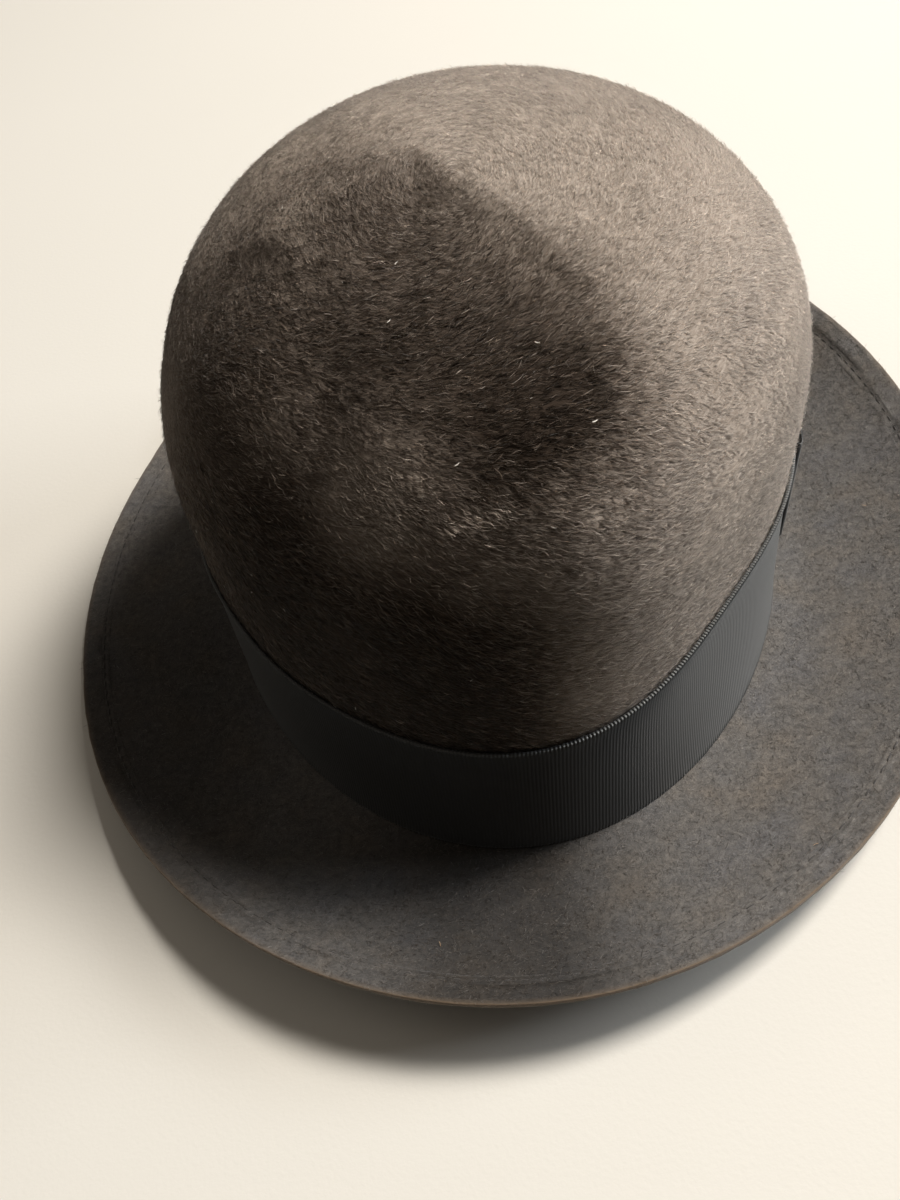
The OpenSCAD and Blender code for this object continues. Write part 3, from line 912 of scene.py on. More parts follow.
def build_locks(coat, wander, rng, material):
    """Thicker locks over the tufts, each its own shade, which give the nap its grain."""
    count = 105000
    roots, normals, forward, side, height = comb(coat, wander, count, rng, 0.20, 0.20)
    dark = brushing_and_shade(roots)
    lying_and_shade = np.clip(dark, 0, 1)
    even = evenly_lit(roots, dark)
    length = np.clip(rng.normal(2.7, 0.8, count), 1.0, 4.8) * (0.74 + 0.26 * lying_and_shade)
    length = per_fibre(length * (1 - 0.40 * height * (1 - lying_and_shade)))
    scuff, tuft = scuffed(roots)
    streak = scuff < 0.75
    lift = np.where(streak, 0.58, np.clip(rng.gamma(2.4, 0.12, count), 0.08, 0.9))
    bow = per_fibre(rng.normal(0, 0.16, count))
    ripple = per_fibre(rng.normal(0, 0.05, count))
    ripple = ripple * np.sin(STEPS * 7.0 + per_fibre(rng.uniform(0, 6.28, count)))
    points = strands(
        roots - normals * 0.05,
        (forward, STEPS * length),
        (side, (bow * STEPS**2 + ripple * STEPS) * length),
        (normals, per_fibre(lift) * np.sin(STEPS * np.pi * 0.6)),
    )
    grain = rng.normal(0, 1, count) * (0.065 + 0.06 * lying_and_shade + 0.11 * even)
    # painted highlight on a quarter of the locks in the painted shade; the tone also takes the
    # painted shade of the brushing-and-shade field
    painted_glints = (rng.random(count) < 0.25) * lying_and_shade * rng.uniform(0.15, 0.60, count)
    tone = 0.55 - 0.45 * dark + grain + painted_glints * (1.5 - np.clip(dark, 0.5, 1.4))
    facing = leaned(normals, roots, lying_and_shade)
    tone[streak] = rng.uniform(0.48, 0.70, streak.sum())
    facing[streak] = unit(normals[streak] + (0.5, 0.1, 0.5))
    puff = (tuft < 2.8) & (rng.random(count) < 0.34)
    tone[puff] = rng.uniform(0.7, 0.95, puff.sum())
    facing[puff] = unit(normals[puff] + (0.4, 0.1, 0.4))
    radius = np.clip(rng.normal(0.062, 0.016, count), 0.03, 0.10) * (0.84 + 0.16 * lying_and_shade)
    jitter = 0.20 + 0.18 * lying_and_shade[:, None] + 0.14 * even[:, None]
    tone = np.clip(tone, 0.0, 0.95)
    add_fibres("crown_nap_locks", points, radius, facing, tone, material, jitter, seed=15)


def build_fuzz(coat, rng, material):
    """Fine short fuzz that stands off the surface and softens the outline."""
    count = 42000
    roots, normals, around, up = coat.plant(count, rng)
    lay = rng.normal(0, 0.9, count)[:, None]
    flat = unit(around * np.cos(lay) + up * np.sin(lay))
    lift = np.clip(rng.normal(0.75, 0.3, count), 0.15, 1.4)[:, None]
    forward = flat * np.cos(lift) + normals * np.sin(lift)
    length = per_fibre(np.clip(rng.gamma(3.0, 0.30, count), 0.3, 2.0))
    bend = unit(np.cross(forward, rng.normal(0, 1, (count, 3))))
    points = strands(
        roots,
        (forward, STEPS * length),
        (bend, 0.22 * STEPS**2 * length),
        (flat, 0.25 * STEPS**2 * length),
    )
    radius = np.clip(rng.normal(0.017, 0.004, count), 0.009, 0.028)
    # painted shade from the brushing-and-shade field
    tone = np.clip(rng.normal(0.60, 0.12, count) - 0.32 * brushing_and_shade(roots), 0.03, 0.92)
    add_fibres("crown_fuzz_fibres", points, radius, normals, tone, material, 0.6, seed=13)


def build_lint(coat, rng):
    """A little scattered lint, and a few larger specks."""
    material = nap_material("lint", (0.6, 0.58, 0.54), (0.75, 0.73, 0.70))
    count = 46
    roots, normals, around, _ = coat.plant(count, rng)
    forward = unit(around + rng.normal(0, 1, roots.shape))
    forward = unit(forward - normals * (forward * normals).sum(-1, keepdims=True))
    length = rng.uniform(0.3, 1.2, count)
    bend = per_fibre(length) * per_fibre(rng.normal(0, 0.5, count))
    points = strands(
        roots + normals * 0.75,
        (forward, STEPS * per_fibre(length)),
        (np.cross(normals, forward), STEPS**2 * bend),
    )
    radius = rng.uniform(0.05, 0.11, count)
    add_fibres("crown_lint", points, radius, normals, np.full(count, 0.6), material, 0.1, seed=14)

    # x, y, z, radius of the specks
    specks = np.array([
        (-3, -76, 110, 0.16), (19, -54, 120, 0.12), (26, -75, 113, 0.15),
        (13, -90, 102, 0.11), (-11, -37, 121, 0.10), (-30, 6, 130, 0.10),
    ])
    nearest = [np.argmin(((coat.points - s[:3]) ** 2).sum(-1)) for s in specks]
    grids = coat.points, coat.normals, coat.around
    roots, normals, around = (grid.reshape(-1, 3)[nearest] for grid in grids)
    forward = unit(around + np.cross(normals, around) * rng.normal(0, 1.2, (6, 1)))
    points = strands(
        roots + normals * 0.85,
        (forward, STEPS * 1.1),
        (np.cross(normals, forward), STEPS**2 * 0.4),
    )
    tone = np.full(6, 0.92)
    add_fibres("crown_specks", points, specks[:, 3], normals, tone, material, 0.05, seed=16)


def build_nap():
    cols, rows = 720, 320
    level = np.linspace(0.2 / MERIDIAN, 0.997, rows)[:, None]
    points = crown_at(np.arange(cols)[None] * 360 / cols, level, 0.0)
    above_ribbon = level[:-1] * MERIDIAN > RIBBON_H - 3  # nothing grows under the ribbon
    coat = Coat(points, above_ribbon)
    wander = (soft_noise(rows, cols, 22, 26, 21) * 0.16
              + soft_noise(rows, cols, 4, 6, 22) * 0.09)
    rng = np.random.default_rng(11)
    material = nap_material("crown_nap", (0.20, 0.169, 0.143), (0.72, 0.638, 0.570))
    build_tufts(coat, wander, rng, material)
    build_locks(coat, wander, rng, material)
    build_fuzz(coat, rng, material)
    build_lint(coat, rng)


# ---------------------------------------------------------------- brim
# profile of the cut edge: out from the edge, share of roughness, height, colour of the cut
BRIM_EDGE = (
    (-0.16, 1.0, BRIM_T - 0.10, 0.80),
    (0.0, 0.8, BRIM_T - 0.42, 0.70),
    (0.03, 1.0, BRIM_T * 0.5, 0.6),
    (0.0, 0.8, 0.42, 0.65),
    (-0.16, 1.0, 0.10, 0.5),
)


def brim_shade(points):
    """Painted shadow of the crown on the brim: darker on the wearer's right and across the front
    to the middle.
    """
    x, y, _ = split(points)
    front = 0.42 * (1 - smooth(x, -10, 40)) + 0.70 * hump(x + 18, 30)
    side = 0.70 * smooth(-x, 50, 105) * smooth(-y, -60, 20)
    return np.maximum(np.minimum(smooth(-y, 40, 110) * front, 1), side)


def build_brim():
    cols = 840
    angle = np.arange(cols) * 360 / cols
    edge = edge_width(angle)
    reach = edge - 0.45 + FELT_T
    at_groove = 1 - (GROOVE + np.linspace(-1.5, 1.5, 13)) / (BRIM_W + FELT_T)
    share = np.unique(np.concatenate([np.linspace(0, 1, 40), at_groove]))[:, None]
    out = -FELT_T + reach * share
    past = (edge - out) - GROOVE
    groove = -0.13 * hump(past, 0.6) + 0.04 * hump(np.abs(past) - 1.2, 0.5)
    top = brim_pt(angle, out, BRIM_T + groove)
    rows = len(top)
    waves = (soft_noise(rows, cols, 5, 40, 31) * 0.14
             + soft_noise(rows, cols, 1.2, 3.0, 32) * 0.03)
    top[..., 2] += waves * np.clip(share * 3 - 0.4, 0, 1) * np.clip((1 - share) * 14, 0.25, 1)
    rim = []
    for i, (beyond, roughness, height, _) in enumerate(BRIM_EDGE):
        rough = soft_noise(4, cols, 1, 1.6, 40 + i)[0] * 0.05 * roughness
        rim.append(brim_pt(angle, edge + beyond + rough, height))
    low = brim_pt(angle, -FELT_T + reach * np.linspace(1, 0, 30)[:, None], 0.0)
    rings = np.concatenate([top, rim, low])
    points, faces = loop_mesh(rings)
    cut = np.zeros(len(rings))
    cut[rows - 1] = 0.30
    cut[rows : rows + 5] = [row[3] for row in BRIM_EDGE]
    add_piece("brim_felt_sheet", (points, faces[:, ::-1]), brim_felt(), "brim_felt", "brim",
              recalc=False, cut=np.repeat(cut, cols), laid=brim_shade(points))
    build_brim_nap(top, low)


def build_brim_nap(top, low):
    """Short nap on both faces, and a few bits of lint on the upper one."""
    material = nap_material("brim_nap", (0.092, 0.089, 0.087), (0.268, 0.258, 0.250))
    rng = np.random.default_rng(51)
    steps = BRIM_STEPS
    for label, grid, count, sign in (
        ("upper", top, 110000, 1),
        ("lower", low[::-1], 40000, -1),
    ):
        coat = Coat(grid)
        if np.sign(coat.normals[..., 2].mean()) != sign:
            coat.normals = -coat.normals
        roots, normals, around, _ = coat.plant(count, rng)
        side = np.cross(normals, around)
        lay = rng.normal(0.2, 0.9, count)[:, None]
        forward = around * np.cos(lay) + side * np.sin(lay)
        length = per_fibre(np.clip(rng.gamma(4.0, 0.26, count), 0.4, 2.2))
        lift = per_fibre(np.clip(rng.gamma(2.0, 0.09, count), 0.02, 0.55))
        bend = 0.25 * per_fibre(rng.normal(0, 1, count))
        points = strands(
            roots - normals * 0.05,
            (forward, steps * length),
            (side, bend * steps**2 * length),
            (normals, lift * np.sin(steps * 2.0)),
        )
        # painted shadow of the crown on the upper nap
        shade = 0.25 * brim_shade(roots) if sign > 0 else 0
        tone = np.clip(rng.normal(0.48, 0.15, count) - shade, 0.03, 0.9)
        tone[rng.random(count) < 0.0012] = 1.0
        radius = np.clip(rng.normal(0.033, 0.009, count), 0.014, 0.055)
        add_fibres(f"brim_nap_{label}", points, radius, normals, tone, material, 0.28, seed=52)

    # angle round the hat, distance out, heading in radians, radius
    lint = np.array([
        (332.0, 44.0, 0.5, 0.16), (351.0, 30.0, 2.2, 0.07), (254.0, 33.0, 1.4, 0.07),
        (298.0, 41.0, 3.0, 0.06), (20.0, 28.0, 0.8, 0.07),
    ])
    angle, out, heading, radius = lint.T
    forward = vec(np.cos(heading), np.sin(heading), 0.0)
    up = np.tile([0, 0, 1.0], (5, 1))
    roots = brim_pt(angle, out, BRIM_T + 0.35)
    points = strands(roots, (forward, steps * 1.4), (np.cross(up, forward), steps**2 * 0.5))
    material = nap_material("brim_lint", (0.35, 0.22, 0.14), (0.62, 0.45, 0.30))
    add_fibres("brim_lint", points, radius, up, np.full(5, 0.6), material, 0.05, seed=53)


# ---------------------------------------------------------------- band and bow
PER_RIB = 4  # columns of mesh to each rib


def build_ribbon(cloth):
    ribs = 645
    cols = ribs * PER_RIB
    fine = np.linspace(0, 360, 20001)
    arc = running_length(np.hypot(*np.diff(offset_outline(fine, 1.0), axis=0).T))
    along = np.arange(cols) * arc[-1] / cols
    angle = np.interp(along, arc, fine)
    wave = np.cos(2 * np.pi * np.arange(cols) / PER_RIB)
    z = np.concatenate([
        [0.35, 0.55, 0.9, 1.5],
        np.linspace(2.6, RIBBON_H - 2.6, 14),
        RIBBON_H - np.array([1.5, 0.9, 0.5, 0.15]),
    ])[:, None]
    rib = np.where((z > 1.2) & (z < RIBBON_H - 1.2), 0.012, 0.12) * wave
    slack = np.abs(soft_noise(len(z), cols, 6, 260, 61) * 0.10)
    offset = SNUG + band_flare(z) + slack + RIBBON_T - 0.06 + rib
    outer = wall(angle, z + np.where(z > RIBBON_H - 0.6, 0.16, 0) * wave, offset)
    back_z = z[[21, 20, 18, 14, 10, 7, 3, 1, 0]]
    inner = wall(angle, back_z, SNUG + band_flare(back_z) * 0.9)
    shape = loop_mesh(shaped(np.concatenate([outer, inner])))
    cloth_at = weave(along * (RIB * ribs / arc[-1]), np.concatenate([z, back_z]))
    add_piece("hatband_grosgrain", shape, cloth, "grosgrain", "hatband_ribbon",
              recalc=False, weave=cloth_at)


def ribbon_piece(name, parts, thickness, cloth, replaces):
    """Ribbed ribbon sheets; each part is its middle grid and its place along and across."""
    grids, cloth_at = [], []
    for middle, along, across in parts:
        normal = grid_normal(middle)
        if ((middle - (SLUMP * 0.2, 0, 20.0)) * normal).sum(-1).mean() < 0:
            normal = -normal
        rib = np.cos(2 * np.pi * along / RIB)[..., None] * 0.045
        grids.append((middle + normal * rib, normal))
        cloth_at += [weave(along, across)] * 2
    add_piece(name, sheets(grids, thickness), cloth, "grosgrain", replaces,
              weave=np.vstack(cloth_at))


def build_tail(cloth):
    """Flat tail with a blunt point at its back end."""
    along = np.arange(-BOW_L / 2 + 3, BOW_L / 2 + 2, RIB / PER_RIB)[None]
    across = np.linspace(0, 1, 26)[:, None]
    cut = np.clip((along - 22.8) / 5.08, 0, None) * 2.5
    z = (1.5 + cut) + (RIBBON_H - 3 - 2 * cut) * across
    offset = TAIL_IN + 0.4 + 0.30 * hump(along - 33, 5)
    offset = offset + 0.06 * np.sin(across * 7 + along * 0.12)
    middle = on_band(along, z, offset)
    ribbon_piece("bow_tail_ribbon", [(middle, along, z)], 0.55, cloth, "bow_tail")


def build_loops(cloth):
    """Each loop runs out from the knot, turns at its end and comes back behind itself."""
    turn_at = 28.6

    def half_depth(x):
        return 1.2 * (1 - 0.78 * np.exp(-(x - 1) / 6.5)) - 0.26

    outward = np.linspace(1, turn_at, int(27.6 / RIB * PER_RIB))
    fold = np.radians(np.linspace(90, -90, 4 * PER_RIB)[1:-1])
    reach = np.concatenate([outward, turn_at + 2.2 * np.cos(fold), outward[::-1]])
    depth = np.concatenate([
        half_depth(outward), half_depth(turn_at) * np.sin(fold), -half_depth(outward[::-1])])
    run = running_length(np.hypot(np.diff(reach), np.diff(depth)))
    across = np.linspace(0, 1, 32)[:, None]
    pinch = 7 * (1 - np.clip((reach - 1) / (BOW_L / 2 - 1), 0, 1)) ** 2
    z = 3 + pinch + (RIBBON_H - 6 - 2 * pinch) * across
    gather = 0.20 * np.cos(2 * np.pi * (3.0 * across + 0.15)) - 0.25
    gather = gather * np.exp(-(reach - 1) / 9)
    sag = -0.22 * (2 * across - 1) ** 4 * (depth > 0) + 0.05 * np.sin(5 * across + reach * 0.2)
    offset = LOOPS_IN + BOW_T / 2 + depth + gather * np.sign(depth) * 0.6 + sag
    offset = np.maximum(offset, LOOPS_IN + 0.22)
    parts = [(on_band(side * reach, z, offset), run, z) for side in (-1, 1)]
    ribbon_piece("bow_loops_ribbon", parts, 0.42, cloth, "bow_loops")


def build_knot(cloth):
    """Narrow ribbon wrapped upright over the middle, so its ribs lie level."""
    z = np.arange(1.6, RIBBON_H - 1.6, RIB / PER_RIB)[:, None]
    along = np.linspace(-KNOT_W / 2, KNOT_W / 2, 44)[None]
    end = np.abs(2 * (z - 1.5) / (RIBBON_H - 3) - 1)
    k = along / (KNOT_W / 2)
    waist = 1 - 0.10 * (1 - end**2)
    folds = 0.17 * np.cos(k * 7.2 + 0.3 * np.sin(z * 0.16)) * (1 - k**6)
    offset = KNOT_IN + 0.95 - 0.62 * np.abs(k) ** 5 + folds - 1.5 * smooth(end, 0.80, 1.0)
    middle = on_band(along * waist, z, np.maximum(offset, LOOPS_IN + 0.3))
    ribbon_piece("bow_knot_ribbon", [(middle, z, along + KNOT_W)], 0.55, cloth, "bow_knot")


# ---------------------------------------------------------------- stitches
def inward(angle, z):
    return unit(inside_pt(angle, z, -3.0) - inside_pt(angle, z, -2.0))


def build_threads():
    dark = thread("dark_thread", (0.050, 0.047, 0.047))
    tan = thread("tan_thread", (0.36, 0.22, 0.12))
    wine = thread("lining_thread", (0.16, 0.02, 0.03))

    count = int(math.pi * (HALF_X + HALF_Y + 2 * BRIM_W) / (3.2 * 1.35))
    angle = np.arange(count) * 360 / count

    def on_groove(angle):
        return brim_pt(angle, edge_width(angle) - GROOVE, BRIM_T + 0.02)

    start, end = on_groove(angle), on_groove(angle + 360 / count * 0.74)
    inner = brim_pt(angle, edge_width(angle) - GROOVE - 1, BRIM_T)
    normal = unit(np.cross(end - start, inner - start))
    normal *= np.sign(normal[:, 2:])
    stitches("brim_edge_stitches", start, end, normal, 0.42, dark, "dark_thread",
             "brim_edge_stitching", arch=0.06, sink=0.22)

    angle = np.arange(72) * 5.0
    depth = CROWN_INNER - 0.36
    start, end = inside_pt(angle, 0.7, depth), inside_pt(angle + 1.3, BRIM_T + 2, depth)
    stitches("crown_brim_whip_stitches", start, end, inward(angle, 2.5), 0.34, dark,
             "dark_thread", "crown_brim_seam", arch=0.02, sink=0.12)

    angle = np.arange(120) * 3.0
    falling = np.arange(120) % 2 == 0
    z_start, z_end = np.where(falling, 7.2, 4.2), np.where(falling, 4.2, 7.2)
    depth = SWEAT_INNER - 0.36
    start, end = inside_pt(angle + 0.3, z_start, depth), inside_pt(angle + 2.5, z_end, depth)
    stitches("sweatband_zigzag_stitches", start, end, inward(angle + 1.4, 5.7), 0.46, tan,
             "tan_thread", "sweatband_stitching", arch=0.05, sink=0.30)

    along = np.repeat([-BOW_L / 2 - 1.6, BOW_L / 2 + 4.2], 3)
    z = np.tile([7.0, RIBBON_H / 2 - 1.5, RIBBON_H - 10.0], 2)
    start, end = on_band(along, z, TAIL_IN + 0.2), on_band(along, z + 3, TAIL_IN + 0.2)
    normal = unit(on_band(along, z, 3.0) - on_band(along, z, 1.0))
    stitches("bow_tacks", start, end, normal, 0.5, dark, "dark_thread",
             "bow_tack_stitches", arch=0.08, sink=0.25)

    angle = 15 + np.arange(12) * 30.0
    depth = LINING_INNER - 0.22
    start, end = inside_pt(angle, 16, depth), inside_pt(angle + 1, 19, depth)
    stitches("lining_tack_stitches", start, end, inward(angle, 17.5), 0.3, wine,
             "dark_thread", "lining_tacks", arch=0.02, sink=0.12)


# ---------------------------------------------------------------- inside
INSIDE_COLS = 420
ROUND = np.arange(INSIDE_COLS) * 360 / INSIDE_COLS
TAPE_OUTER = CROWN_INNER - 0.65
PATCH_OUTER = SWEAT_INNER - 0.5 - 0.3
CORD_U = 0.485  # place on the dome of the cord between the lining's two parts


def build_sweatband(hide):
    """Leather that thins towards its foot and its free edge."""
    z = np.concatenate([
        [2.2, 2.4, 2.9, 3.6], np.linspace(4.4, 47.5, 26), [48.8, 49.5, 49.85]])[:, None]
    shrink = np.interp(z, [2.2, 2.9, 4, 46, 49.85], [0.10, 0.02, 0.0, 0.0, 0.22])
    noise = soft_noise(len(z), INSIDE_COLS, 2.2, 9, 71)
    wrinkle = np.abs(noise) * 0.09 * smooth(z, 6, 20)
    groove = 0.12 * (hump(z - 4.2, 0.35) + hump(z - 7.2, 0.35) + hump(z - 45.8, 0.4))
    inner = inside_pt(ROUND, z, SWEAT_INNER + shrink + groove - wrinkle)
    outer = inside_pt(ROUND, z[::-1], SWEAT_OUTER - shrink[::-1])
    inner_wear = np.interp(z, [2.2, 4, 12, 30, 50], [0.75, 0.55, 0.25, 0.1, 0.35])
    wear = np.concatenate([np.zeros(z.shape), inner_wear])
    blotches = 0.12 * soft_noise(len(wear), INSIDE_COLS, 6, 12, 72) * (wear > 0)
    add_piece("sweatband_leather_band", loop_mesh(np.concatenate([outer, inner])), hide,
              "sweatband_leather", "sweatband", wear=np.clip(wear + blotches, 0, 1).ravel())


def build_reed():
    """Round plastic welt at the sweatband's foot."""
    radius = 0.8
    centre = TAPE_OUTER - 0.3 - GAP - radius
    turn = (np.arange(14) * 2 * np.pi / 14)[:, None]
    x, y = split(offset_outline(ROUND, centre + radius * np.cos(turn)))
    rings = vec(x, y, 0.3 + radius + radius * np.sin(turn))
    plastic = speckled("reed_plastic", (0.66, 0.62, 0.52), scale=120, vary=(0.94, 1.06),
                       depth=0.00002, Roughness=0.28, Subsurface_Weight=0.15,
                       Subsurface_Radius=(0.002, 0.0015, 0.001), Subsurface_Scale=1.0)
    add_piece("sweatband_reed_tube", loop_mesh(rings), plastic, "reed_plastic", "sweatband_reed")


def build_tape():
    """Woven tape between the reed and the crown."""
    z = np.linspace(0.4, 10, 26)[:, None]
    twill = np.sin(2 * np.pi * (z / 0.9 + np.arange(INSIDE_COLS) * 160 / INSIDE_COLS))
    front = inside_pt(ROUND, z[::-1], TAPE_OUTER - 0.27 + 0.03 * twill[::-1])
    rings = np.concatenate([inside_pt(ROUND, z, TAPE_OUTER), front])
    cloth = speckled("tape_cloth", (0.045, 0.038, 0.032), scale=2600, vary=(0.5, 1.5),
                     depth=0.0002, Roughness=0.85)
    add_piece("reed_tape_cloth", loop_mesh(rings), cloth, "tape_cloth", "reed_tape")


def build_patch(hide):
    """Patch over the sweatband at the back."""
    z = np.linspace(9, SWEAT_H - 3, 40)[:, None]
    k = np.linspace(-1, 1, 30)[None]
    from_middle = np.abs(z - 28)
    rounding = np.sqrt(np.clip(1 - ((from_middle - 16.5) / 2.6) ** 2, 0.25, 1))
    corner = np.where(from_middle > 16.5, rounding, 1)
    bulge = 0.10 * (1 - np.abs(k) ** 4) * (1 - np.clip((from_middle - 15) / 4, 0, 1) ** 2)
    middle = inside_pt(90 + 4.4 * k * corner, z, PATCH_OUTER - 0.35 - bulge)
    points, faces = sheets([(middle, grid_normal(middle))], 0.55)
    add_piece("sweatband_patch", (points, faces), hide, "sweatband_leather",
              "sweatband_back_patch", wear=np.full(len(points), 0.45))


def build_small_bow():
    """Small flat bow of narrow ribbon at the back: two loops and a wrap."""
    base = PATCH_OUTER - 0.7 - GAP
    parts = []  # middle grid, place along the ribbon and across it
    half_turn = np.linspace(0, np.pi, 9)[1:-1]
    outward = np.linspace(0.03, 0.94, 40)
    reach = np.concatenate([outward, 0.94 + 0.06 * np.sin(half_turn), outward[::-1]])
    depth = np.concatenate([
        -0.85 + 0.20 * np.exp(-np.linspace(0, 4, 40)),
        -0.55 - 0.30 * np.cos(half_turn),
        np.full(40, -0.25),
    ])
    across = (1.8 + 3.2 * reach) * np.linspace(-1, 1, 15)[:, None]
    for side in (-1, 1):
        middle = inside_pt(90 + side * 9.5 * reach, (14 - 2 * reach) + across, base + depth)
        run = running_length(np.linalg.norm(np.diff(middle[7], axis=0), axis=-1))
        parts.append((middle, run, across))
    w = np.linspace(-1, 1, 20)[:, None]
    k = np.linspace(-1, 1, 12)[None]
    offset = base - 1.08 - 0.10 * (1 - k**2) * (1 - w**2) + 0.5 * np.abs(w) ** 8
    parts.append((inside_pt(90 + 1.5 * k, 14 + 2.5 * w, offset), w * 2.5, k * 2))
    shape = sheets([(middle, grid_normal(middle)) for middle, _, _ in parts], 0.22)
    cloth_at = np.vstack([np.tile(weave(along, over), (2, 1)) for _, along, over in parts])
    cloth = satin("narrow_ribbon", (0.055, 0.030, 0.018))
    add_piece("sweatband_small_bow", shape, cloth, "narrow_ribbon", "sweatband_bow",
              weave=cloth_at)


def lining_offset(u):
    return LINING_OUTER - 4.7 * u


def build_lining_side(cloth):
    turn = np.radians(ROUND)
    fold = 0.5 + 0.5 * np.sin(turn * 24 + 1.3 * np.sin(turn * 5))
    rows = []  # surface, place on it, offset, height in the cloth
    for z in np.linspace(10.4, 64.5, 26):
        drop = (0.16 + 0.75 * smooth(z, 50, 60)) * fold * 0.8
        rows.append((wall, z, LINING_OUTER - drop, z))
    for u in np.linspace(0.01, 0.47, 26):
        drop = 0.91 * (1 - 0.75 * smooth(u, 0.36, 0.47)) * fold
        rows.append((dome, u, lining_offset(u) - drop, WALL_H + u * 75))
    outer = [surface(ROUND, place, offset) for surface, place, offset, _ in rows]
    inner = [surface(ROUND, place, offset - LINING_T) for surface, place, offset, _ in rows]
    heights = [row[3] for row in rows]
    heights = np.array(heights + heights[::-1])[:, None]
    add_piece("lining_side_satin", loop_mesh(shaped(np.array(outer + inner[::-1]))), cloth,
              "lining_satin", "lining_side", weave=weave(ROUND * 1.6, heights))


def build_bowl(name, levels, upper, lower, material, slot, replaces, gather=0.0):
    """Double-skinned bowl under the top; upper and lower are depths below the lining."""
    pleats = 0.5 + 0.5 * np.sin(np.radians(ROUND) * 36)

    def skin(levels, depth):
        return np.array([
            dome(ROUND, u, lining_offset(u) - depth - gather * np.exp(-(u - 0.5) / 0.10) * pleats)
            for u in levels
        ])

    poles = [dome(0.0, 1.0, lining_offset(1.0) - depth) for depth in (upper, lower)]
    points, faces = dome_shell(skin(levels, upper), skin(levels[::-1], lower), *poles)
    points = shaped(points)
    add_piece(name, (points, faces), material, slot, replaces,
              weave=weave(points[:, 0], points[:, 1]))


def build_cord():
    """Three-stranded twisted cord between the two parts of the lining."""
    radius = 1.1
    cols = 900
    angle = np.arange(cols) * 360 / cols
    offset = lining_offset(CORD_U) - LINING_T - GAP - radius - 0.25
    centre = shaped(dome(angle, CORD_U, offset))
    inwards = unit(shaped(dome(angle, CORD_U, offset - 1)) - centre)
    run = running_length(np.linalg.norm(np.diff(centre, axis=0), axis=-1))
    # a whole number of turns, so that the twist meets itself
    twist = 2 * np.pi * np.round(run[-1] / 5.4) / (run[-1] * (1 + 1 / cols))
    turn = (np.arange(18) * 2 * np.pi / 18)[:, None]
    reach = (radius * (0.86 + 0.13 * np.cos(3 * turn - twist * run)))[..., None]
    turn = turn[..., None]
    rings = centre + reach * (np.cos(turn) * inwards + np.sin(turn) * np.array([0, 0, 1.0]))
    cord = speckled("lining_cord", (0.15, 0.012, 0.02), scale=2400, vary=(0.7, 1.3),
                    depth=0.0001, Roughness=0.45, Sheen_Weight=0.4, Sheen_Roughness=0.3)
    add_piece("lining_cord_twist", loop_mesh(rings), cord, "lining_cord", "lining_welt_cord")


def build_label():
    """Blank paper label above the sweatband, behind on the wearer's left."""
    z = np.linspace(SWEAT_H + 4, SWEAT_H + 12, 16)[:, None]
    k = np.linspace(-1, 1, 28)[None]
    offset = LINING_INNER - 0.45 - 0.75 * 0.9 - 0.25 * np.abs(k) ** 6
    middle = shaped(wall(72 + 4.8 * k, z, offset))
    paper = speckled("label_paper", (0.72, 0.68, 0.58), scale=700, vary=(0.94, 1.06),
                     depth=0.00004, Roughness=0.75)
    add_piece("size_label_paper", sheets([(middle, grid_normal(middle))], 0.24), paper,
              "label_paper", "size_label")


def build_inside():
    hide = leather()
    build_sweatband(hide)
    build_reed()
    build_tape()
    build_patch(hide)
    build_small_bow()
    cloth = satin("lining_satin", (0.215, 0.014, 0.026))
    build_lining_side(cloth)
    build_bowl("lining_tip_satin", np.linspace(0.5, 0.975, 34), 0.0, LINING_T, cloth,
               "lining_satin", "lining_tip", gather=0.22)
    clear = Material("clear_sheet").surface(
        Base_Color=(0.93, 0.95, 0.96), Roughness=0.12, Transmission_Weight=0.94, IOR=1.25,
        Specular_IOR_Level=0.5)
    build_bowl("tip_shield_sheet", np.linspace(0.7, 0.98, 22), 0.9, 1.2, clear,
               "clear_sheet", "tip_shield")
    build_cord()
    build_label()


# ---------------------------------------------------------------- stage, light and camera
def build_stage():
    """Pale round floor that curves up into a pale wall all round."""
    radius, curve, wall_top, sides = 2600.0, 1600.0, 4200.0, 128
    m = Material("studio_floor")
    place = m.position()
    patches = m.noise(place, scale=3.0)
    grain = m.noise(place, scale=700, rough=0.6)
    colour = m.ramp(patches, (0.3, (0.750, 0.742, 0.705)), (0.7, (0.766, 0.758, 0.722)))
    m.surface(Base_Color=colour, Roughness=0.85, Specular_IOR_Level=0.2,
              Normal=m.bump(grain, strength=0.15, distance=0.0003))

    turn = 2 * np.pi * np.arange(sides) / sides

    def lathe(profile):
        r, z = np.array(profile).T[..., None]
        return vec(r * np.cos(turn), r * np.sin(turn), z).reshape(-1, 3)

    def quads(rows, start):
        return np.roll(grid_faces(rows, sides, start, flip=True), 1, axis=1).tolist()

    disc = np.vstack([[0, 0, 0], lathe([(150.0, 0.0), (300.0, 0.0)])])
    fan = [[0, 1 + i, 1 + (i + 1) % sides] for i in range(sides)]
    bends = np.radians(np.linspace(0, 90, 19))
    profile = [(300.0, 0.0), (650.0, 0.0)]
    profile += [(radius - curve + curve * np.sin(a), curve - curve * np.cos(a)) for a in bends]
    profile.append((radius, wall_top))
    for name, points, faces in (
        ("studio_floor_near", disc, fan + quads(2, 1)),
        ("studio_floor_far", lathe(profile), quads(len(profile), 0)),
    ):
        floor = make_mesh(name, points, faces, rides=False)
        floor.data.materials.append(m.data)
        floor.visible_glossy = False
    floor.visible_diffuse = False  # the far part doesn't fill the hat's shade


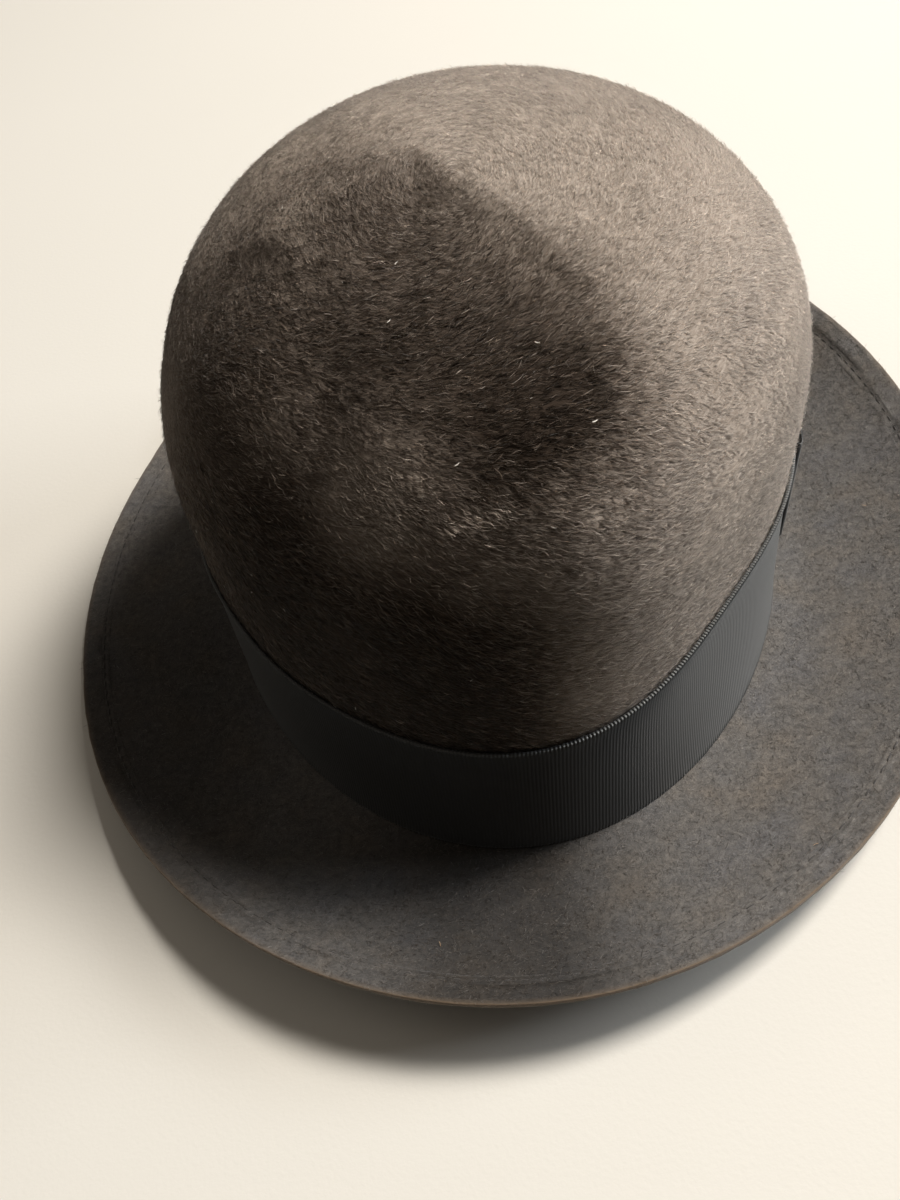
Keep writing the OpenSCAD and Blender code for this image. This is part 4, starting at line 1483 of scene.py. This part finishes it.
def add_posed(name, data, axes, position):
    """Links an object whose local axes and place are given in metres."""
    item = bpy.data.objects.new(name, data)
    bpy.context.scene.collection.objects.link(item)
    pose = np.vstack([np.column_stack([*axes, position]), [0, 0, 0, 1]])
    item.matrix_world = Matrix(pose.tolist())
    return item


def build_world():
    """Warm fill from overhead that dies away towards the horizon."""
    world = bpy.data.worlds.new("studio")
    bpy.context.scene.world = world
    world.use_nodes = True
    nodes = world.node_tree.nodes
    background = nodes["Background"]
    feed(background.inputs[0], (1.0, 0.87, 0.72))
    incoming = Signal(nodes.new("ShaderNodeNewGeometry").outputs["Incoming"])
    separate = nodes.new("ShaderNodeSeparateXYZ")
    feed(separate.inputs[0], incoming)
    # the incoming direction points down for light from above
    down = Signal(separate.outputs["Z"]).math("MINIMUM", 0.0)
    overhead, horizon = 0.16, 0.022
    feed(background.inputs[1], (down * down).math("MULTIPLY_ADD", overhead, horizon))


def build_lights():
    """Key behind on the wearer's left, cool light low beside it, warm rim behind right."""
    key_place = unit(np.array([0.86, 0.29, 1.06])) * 3.0 + np.array([0, 0, 0.08])
    # name, place, height aimed at, width, height, watts, colour; in metres
    for name, place, aim_z, width, height, power, colour in (
        ("key_softbox", key_place, 0.08, 0.80, 0.80, 118, (1.0, 0.925, 0.83)),
        ("side_softbox", (2.2, 0.10, 0.85), 0.06, 1.0, 0.8, 36, (0.92, 0.96, 1.0)),
        ("rim_softbox", (-2.1, 0.95, 1.1), 0.08, 0.9, 0.9, 4.5, (1.0, 0.90, 0.78)),
    ):
        light = bpy.data.lights.new(name, "AREA")
        light.shape = "RECTANGLE"
        light.size, light.size_y = width, height
        light.energy = power
        light.color = colour
        z = unit(place - np.array([0, 0, aim_z]))
        x = unit(np.cross([0, 0, 1.0], z))
        add_posed(name, light, (x, np.cross(z, x), z), place).visible_camera = False


def build_camera():
    """Looks down on the front of the hat, rolled to one side."""
    azimuth, elevation, roll = (math.radians(v) for v in (4.6398, 48.6798, -16.3934))
    target = np.array([0, 0, 52.0])
    shift_x, shift_y, distance = -4.98315, -47.40729, 332.1914  # from the target, mm
    flat = math.cos(elevation)
    back = np.array([math.sin(azimuth) * flat, -math.cos(azimuth) * flat, math.sin(elevation)])
    level = np.array([math.cos(azimuth), math.sin(azimuth), 0.0])
    upright = np.cross(back, level)
    right = math.cos(roll) * level + math.sin(roll) * upright
    up = -math.sin(roll) * level + math.cos(roll) * upright
    camera = bpy.data.cameras.new("view")
    camera.sensor_fit = "VERTICAL"
    camera.sensor_height = 36
    camera.sensor_width = 27
    camera.lens = 34.48188
    camera.clip_start = 0.01
    camera.clip_end = 50
    place = (target + shift_x * right + shift_y * up + distance * back) * MM
    bpy.context.scene.camera = add_posed("view", camera, (right, up, back), place)
    view = bpy.context.scene.view_settings
    view.view_transform = "Standard"
    view.look = "None"
    view.exposure = 0.0
    view.gamma = 1.0


build_stage()
build_world()
build_lights()
build_camera()
build_crown()
build_nap()
build_brim()
ribbon_cloth = grosgrain()
build_ribbon(ribbon_cloth)
build_tail(ribbon_cloth)
build_loops(ribbon_cloth)
build_knot(ribbon_cloth)
build_threads()
build_inside()

bpy.context.view_layer.update()
